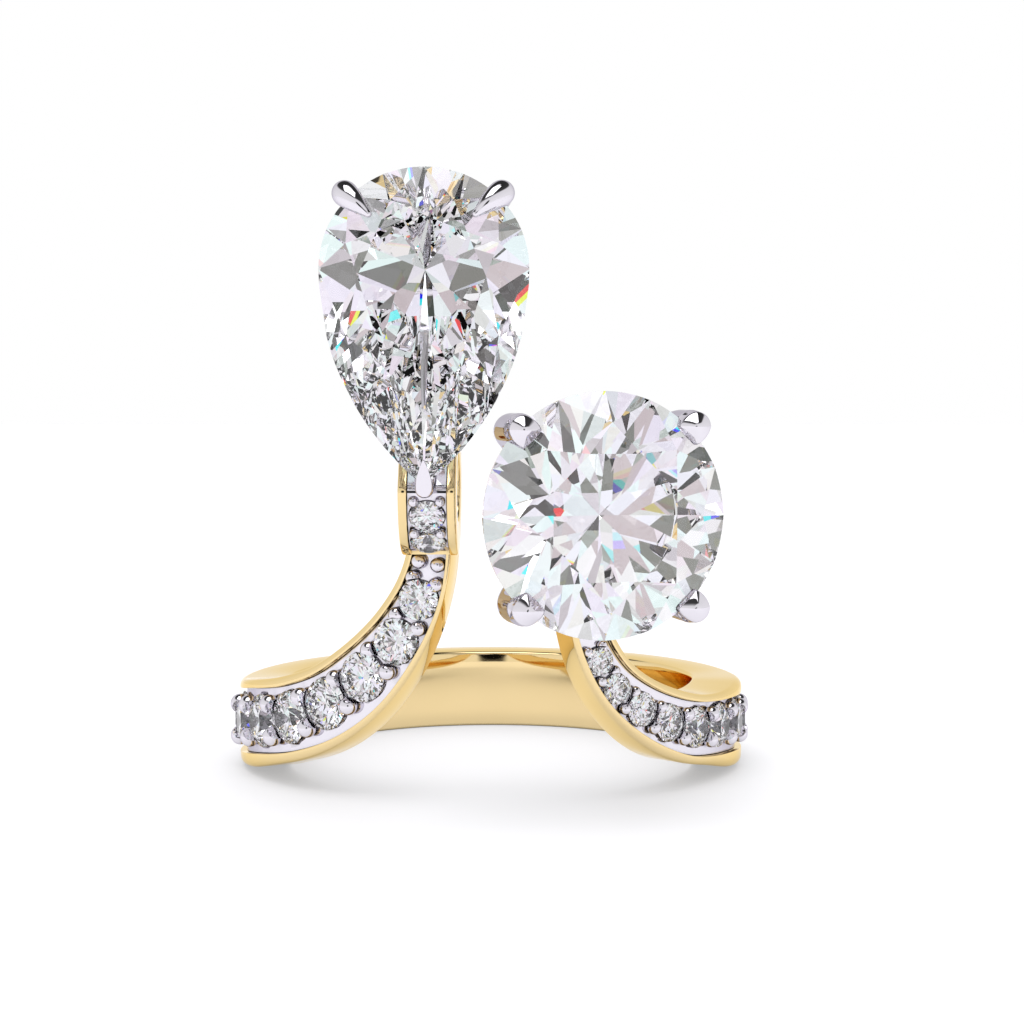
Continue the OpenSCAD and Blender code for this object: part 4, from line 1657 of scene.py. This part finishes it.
@dataclass
class RoundHead:
    """The white head of the round stone: base ring and four prongs with pyramid ends."""

    cutter: StoneCutter
    run: BandRun
    stone_d: float = 8.5
    turn: float = 13.5
    azimuth: float = 22.9
    proud: float = 3.7
    drop: float = 0.8
    prong_d: float = 1.15
    prong_out: float = 0.05
    base_r: float = 1.45
    base_depth: float = 3.95
    knee_depth: float = 1.6
    cap_z: float = 0.62
    cap_inner_r: float = 0.62
    cap_outer_r: float = 0.52
    cap_sides: int = 64
    cap_profile: tuple[tuple[float, float], ...] = (
        (1.0, -0.5), (1.0, -0.08), (0.985, -0.03), (0.95, 0.01), (0.9, 0.04), (0.34, 0.25),
        (0.24, 0.28), (0.12, 0.3), (0.01, 0.305))
    prongs: tuple[Prong, ...] = (
        Prong(45, 0.04, 0.0), Prong(135, 0.07, -0.11), Prong(225, 0.19, -0.08),
        Prong(315, 0.04, -0.1))
    gap: float = 0.03

    @property
    def reach(self) -> float:
        """How far the prongs stand from the stone's axis."""
        return self.stone_d / 2 + self.prong_out

    @property
    def height(self) -> float:
        """Height of the stone's centre above the floor."""
        return self.run.mid_h + self.run.round_arm_h - self.drop

    def place(self) -> Matrix:
        """Gives the frame of the round stone.

        Returns:
            A matrix with X to the side, Y up and Z to the front.
        """
        side = self.run.outer_r * math.sin(math.radians(self.azimuth))
        return (
            Matrix.Translation((side, -self.run.outer_r - self.proud, self.height))
            @ Matrix.Rotation(math.radians(self.turn), 4, "Z")
            @ Matrix.Rotation(math.pi / 2, 4, "X")
        )

    def prong(self, prong: Prong) -> Wire:
        """Gives the wire of one prong.

        Args:
            prong: where it stands.

        Returns:
            The wire.
        """
        reach = self.reach
        across, up = math.cos(math.radians(prong.angle)), math.sin(math.radians(prong.angle))
        foot_r, prong_r = 0.49 * self.prong_d, self.prong_d / 2
        lean = (self.base_depth - self.knee_depth) / (reach - self.base_r)
        near = 0.35
        radial = [
            (self.base_r, -self.base_depth, foot_r),
            (reach - 2 * near, -self.knee_depth - 2 * near * lean, foot_r),
            (reach - near * 0.45, -self.knee_depth - near * 0.4 * lean, prong_r),
            (reach, -self.knee_depth + near, prong_r),
            (reach, -0.3, prong_r),
            (reach, self.cap_z - prong_r, prong_r),
        ]
        stops = []
        for r, z, radius in radial:
            share = (r - self.base_r) / (reach - self.base_r)
            stops.append(Stop(
                r * across + share * prong.side, r * up + share * prong.up, z, radius))
        return Wire(tuple(stops))

    def cap_outline(self, share: float) -> tuple[float, float]:
        """Gives a point of a prong end's outline, with two corners towards the stone.

        Args:
            share: the share of the way round, from one of the two corners.

        Returns:
            The point, along the directions to the two corners.
        """
        u, v = math.cos(math.tau * share), math.sin(math.tau * share)
        wide = self.cap_inner_r if u > 0 else self.cap_outer_r
        high = self.cap_inner_r if v > 0 else self.cap_outer_r
        power = {2: 1.15, 1: 1.5, 0: 2.0}[(u > 0) + (v > 0)]
        size = ((abs(u) / wide) ** power + (abs(v) / high) ** power) ** (-1 / power)
        return size * u, size * v

    def cap(self, prong: Prong) -> BMesh:
        """Makes the softened pyramid that ends a prong.

        Args:
            prong: where it stands.

        Returns:
            The closed mesh.
        """
        inward = math.radians(prong.angle + 180)
        centre = Vector((
            -self.reach * math.cos(inward) + prong.side,
            -self.reach * math.sin(inward) + prong.up, self.cap_z))
        place = (
            self.place() @ Matrix.Translation(centre)
            @ Matrix.Rotation(inward - math.pi / 4, 4, "Z"))
        outline = [self.cap_outline(k / self.cap_sides) for k in range(self.cap_sides)]
        bm = bmesh.new()
        swept_skin(bm, [
            [place @ Vector((scale * u, scale * v, z)) for u, v in outline]
            for scale, z in self.cap_profile
        ])
        return bm

    def build(self) -> Object:
        """Builds the head.

        Returns:
            The piece.
        """
        place = self.place()
        body = bmesh.new()
        merge_into(body, base_ring(self.base_r, self.base_depth, 0.87 * self.prong_d, place))
        for prong in self.prongs:
            merge_into(body, self.prong(prong).build(place))
            merge_into(body, self.cap(prong))
        body = carved(body, drum(self.run.outer_r + self.gap, -1.0, 2 * self.height, Matrix()))
        sides = self.cutter.main_sides
        body = carved(body, self.cutter.round_stone(self.stone_d, place, sides, self.gap))
        return finish_mesh(body, "round_head_prongs", "round_head", Slot.WHITE_GOLD, smooth_below=40.0)

    def build_stone(self) -> Object:
        """Builds the round stone."""
        stone = self.cutter.round_stone(self.stone_d, self.place(), self.cutter.main_sides)
        return finish_mesh(stone, "round_stone_cut", "round_stone", Slot.DIAMOND)


# Camera, light and floor

@dataclass(frozen=True)
class DarkZone:
    """A round dark part of the studio, around a direction."""

    direction: tuple[float, float, float]
    inner: float
    outer: float
    level: float


@dataclass
class Studio:
    """The camera, the soft white surroundings and the pale floor."""

    camera_mm: tuple[float, float, float] = (0.86, -80.0, 14.4)
    lens: float = 68.3
    pitch: float = 3.0
    floor_half: float = 2.0
    floor_drop: float = 2e-6
    floor_glow: float = 0.41
    lamp_place: tuple[float, float, float] = (-0.05, -0.12, 0.4)
    lamp_size: float = 0.3
    lamp_watts: float = 0.6
    panel_axis: tuple[float, float, float] = (0.5, 0.4, 0.77)
    panel_scale: float = 3.4
    panel_tones: tuple[tuple[float, float], ...] = (
        (0.0, 0.005), (0.09, 0.09), (0.16, 0.25), (0.24, 0.43), (0.33, 0.62), (0.44, 0.79),
        (0.6, 0.92), (0.8, 1.0))
    panel_tinge: float = 0.16
    fire: float = 0.33
    floor_tones: tuple[tuple[float, float, float], ...] = ((0.59, 0.585, 0.61), (0.6, 0.595, 0.62))
    height_tones: tuple[tuple[float, float], ...] = (
        (0.0, 0.9), (0.5, 1.0), (0.8, 0.9), (0.86, 0.05), (0.982, 0.03), (0.995, 1.2))
    zones: tuple[DarkZone, ...] = (
        DarkZone((0.0, -1.0, 0.05), 5.0, 10.0, 0.1),
        DarkZone((0.0, -0.98, 0.2), 8.0, 11.0, 0.05),
    )

    def build_camera(self) -> None:
        """Sets the camera at the photo's angle."""
        data = bpy.data.cameras.new("camera")
        data.lens = self.lens
        data.sensor_width = 36.0
        data.clip_start = 0.001
        data.clip_end = 20.0
        camera = bpy.data.objects.new("camera", data)
        camera.location = Vector(self.camera_mm) * MM
        camera.rotation_euler = (math.radians(90.0 - self.pitch), 0.0, 0.0)
        bpy.context.scene.collection.objects.link(camera)
        bpy.context.scene.camera = camera

    def cells(
        self, kit: NodeKit, direction: NodeSocket, turn: float, tinge_from: str
    ) -> NodeSocket:
        """Adds the panelled tent that the stones look out at, for one colour channel.

        Args:
            kit: the world's node kit.
            direction: the direction of the ray.
            turn: a small turn of the tent in degrees, which gives the stones their fire.
            tinge_from: the channel of each panel's random colour that sets its faint tinge.

        Returns:
            The brightness in that direction.
        """
        moved = kit.add("ShaderNodeVectorRotate", rotation_type="AXIS_ANGLE")
        moved.inputs["Axis"].default_value = self.panel_axis
        moved.inputs["Angle"].default_value = math.radians(turn)
        kit.link(direction, moved.inputs["Vector"])
        panels = kit.add("ShaderNodeTexVoronoi", feature="F1")
        panels.inputs["Scale"].default_value = self.panel_scale
        panels.inputs["Randomness"].default_value = 0.9
        kit.link(moved.outputs["Vector"], panels.inputs["Vector"])
        split = kit.add("ShaderNodeSeparateColor")
        kit.link(panels.outputs["Color"], split.inputs["Color"])
        tone = kit.ramp(split.outputs["Red"], self.panel_tones, "CONSTANT")
        tinge = kit.span(split.outputs[tinge_from], 1.0 - self.panel_tinge, 1.0)
        return kit.both("MULTIPLY", tone, tinge)

    def soft_tent(self, kit: NodeKit, direction: NodeSocket) -> NodeSocket:
        """Adds the soft tent that the metal shows.

        Args:
            kit: the world's node kit.
            direction: the direction of the ray.

        Returns:
            The brightness in that direction.
        """
        split = kit.add("ShaderNodeSeparateXYZ")
        kit.link(direction, split.inputs["Vector"])
        level = kit.ramp(kit.unit(split.outputs["Z"]), self.height_tones, "EASE")
        for zone in self.zones:
            dot = kit.add("ShaderNodeVectorMath", operation="DOT_PRODUCT")
            kit.link(direction, dot.inputs[0])
            dot.inputs[1].default_value = Vector(zone.direction).normalized()
            shade = kit.add("ShaderNodeMapRange", interpolation_type="SMOOTHSTEP")
            shade.inputs["From Min"].default_value = math.cos(math.radians(zone.outer))
            shade.inputs["From Max"].default_value = math.cos(math.radians(zone.inner))
            shade.inputs["To Min"].default_value = 1.0
            shade.inputs["To Max"].default_value = zone.level
            kit.link(dot.outputs["Value"], shade.inputs["Value"])
            level = kit.both("MULTIPLY", level, shade.outputs["Result"])
        return level

    def build_world(self) -> None:
        """Builds the white surroundings, which the metal, the stones and the camera see apart."""
        world = bpy.data.worlds.new("studio")
        world.use_nodes = True
        bpy.context.scene.world = world
        kit = NodeKit(world.node_tree)
        background = world.node_tree.nodes["Background"]
        direction = kit.add("ShaderNodeTexCoord").outputs["Generated"]
        soft = self.soft_tent(kit, direction)
        joined = kit.add("ShaderNodeCombineColor")
        turns = {"Red": -self.fire, "Green": 0.0, "Blue": self.fire}
        tinges = {"Red": "Green", "Green": "Blue", "Blue": "Red"}
        for channel, turn in turns.items():
            shown = self.cells(kit, direction, turn, tinges[channel])
            kit.link(shown, joined.inputs[channel])
        rays = kit.add("ShaderNodeLightPath")
        inner = kit.add("ShaderNodeMix", data_type="RGBA")
        kit.link(rays.outputs["Is Transmission Ray"], inner.inputs["Factor"])
        kit.link(soft, inner.inputs["A"])
        kit.link(joined.outputs["Color"], inner.inputs["B"])
        plain = kit.both(
            "MAXIMUM", rays.outputs["Is Camera Ray"], rays.outputs["Is Diffuse Ray"])
        outer = kit.add("ShaderNodeMix", data_type="RGBA")
        kit.link(plain, outer.inputs["Factor"])
        kit.link(inner.outputs["Result"], outer.inputs["A"])
        outer.inputs["B"].default_value = (1.0, 1.0, 1.0, 1.0)
        kit.link(outer.outputs["Result"], background.inputs["Color"])
        background.inputs["Strength"].default_value = 1.0

    def build_floor(self) -> None:
        """Builds the pale floor."""
        bm = bmesh.new()
        bmesh.ops.create_grid(bm, x_segments=1, y_segments=1, size=self.floor_half)
        bmesh.ops.translate(bm, vec=(0, 0, -self.floor_drop), verts=bm.verts)
        mesh = bpy.data.meshes.new("floor")
        bm.to_mesh(mesh)
        bm.free()
        floor = bpy.data.objects.new("floor", mesh)
        bpy.context.scene.collection.objects.link(floor)
        made = bpy.data.materials.new("pale_floor")
        made.use_nodes = True
        kit = NodeKit(made.node_tree)
        shader = made.node_tree.nodes["Principled BSDF"]
        shader.inputs["Roughness"].default_value = 0.6
        shader.inputs["Specular IOR Level"].default_value = 0.2
        place = kit.add("ShaderNodeTexCoord").outputs["Object"]
        cloud = kit.noise(place, 3.0, 2.0)
        tint = kit.tint(cloud.outputs["Fac"], *self.floor_tones)
        kit.link(tint, shader.inputs["Base Color"])
        shader.inputs["Emission Color"].default_value = (1.0, 1.0, 1.0, 1.0)
        shader.inputs["Emission Strength"].default_value = self.floor_glow
        mesh.materials.append(made)
        floor.visible_transmission = False

    def build_lamp(self) -> None:
        """Adds a soft square lamp high up in front, which faces the ring."""
        data = bpy.data.lights.new("high_lamp", "AREA")
        data.size = self.lamp_size
        data.energy = self.lamp_watts
        lamp = bpy.data.objects.new("high_lamp", data)
        lamp.location = self.lamp_place
        aim = Vector((0.0, 0.0, 0.01)) - Vector(self.lamp_place)
        lamp.rotation_euler = aim.to_track_quat("-Z", "Y").to_euler()
        bpy.context.scene.collection.objects.link(lamp)

    def build(self) -> None:
        """Builds everything around the ring, and sets how light is shown."""
        self.build_camera()
        self.build_world()
        self.build_floor()
        self.build_lamp()
        scene = bpy.context.scene
        scene.view_settings.view_transform = "Standard"
        scene.cycles.max_bounces = 32
        scene.cycles.transmission_bounces = 32
        scene.cycles.glossy_bounces = 16
        scene.cycles.caustics_reflective = False
        scene.cycles.caustics_refractive = False


def main() -> None:
    """Builds the ring piece by piece, then the studio."""
    logging.basicConfig(level=logging.INFO, format="%(name)s: %(message)s")
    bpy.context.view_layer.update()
    run, cutter = BandRun(), StoneCutter()
    shank, loop = Shank(run), Collar(run)
    shank.build()
    loop.build_loop()
    loop.build_bed(cutter)
    loop.build_stones(cutter)
    for row, ends in ((PEAR_ROW, shank.pear_channel), (ROUND_ROW, shank.round_channel)):
        bed = ChannelBed(run, shank, row, ends, cutter)
        bed.build_bed()
        bed.build_stones()
    pear, round_head = PearHead(cutter, loop), RoundHead(cutter, run)
    pear.build()
    pear.build_stone()
    round_head.build()
    round_head.build_stone()
    Studio().build()


if __name__ == "__main__":
    main()
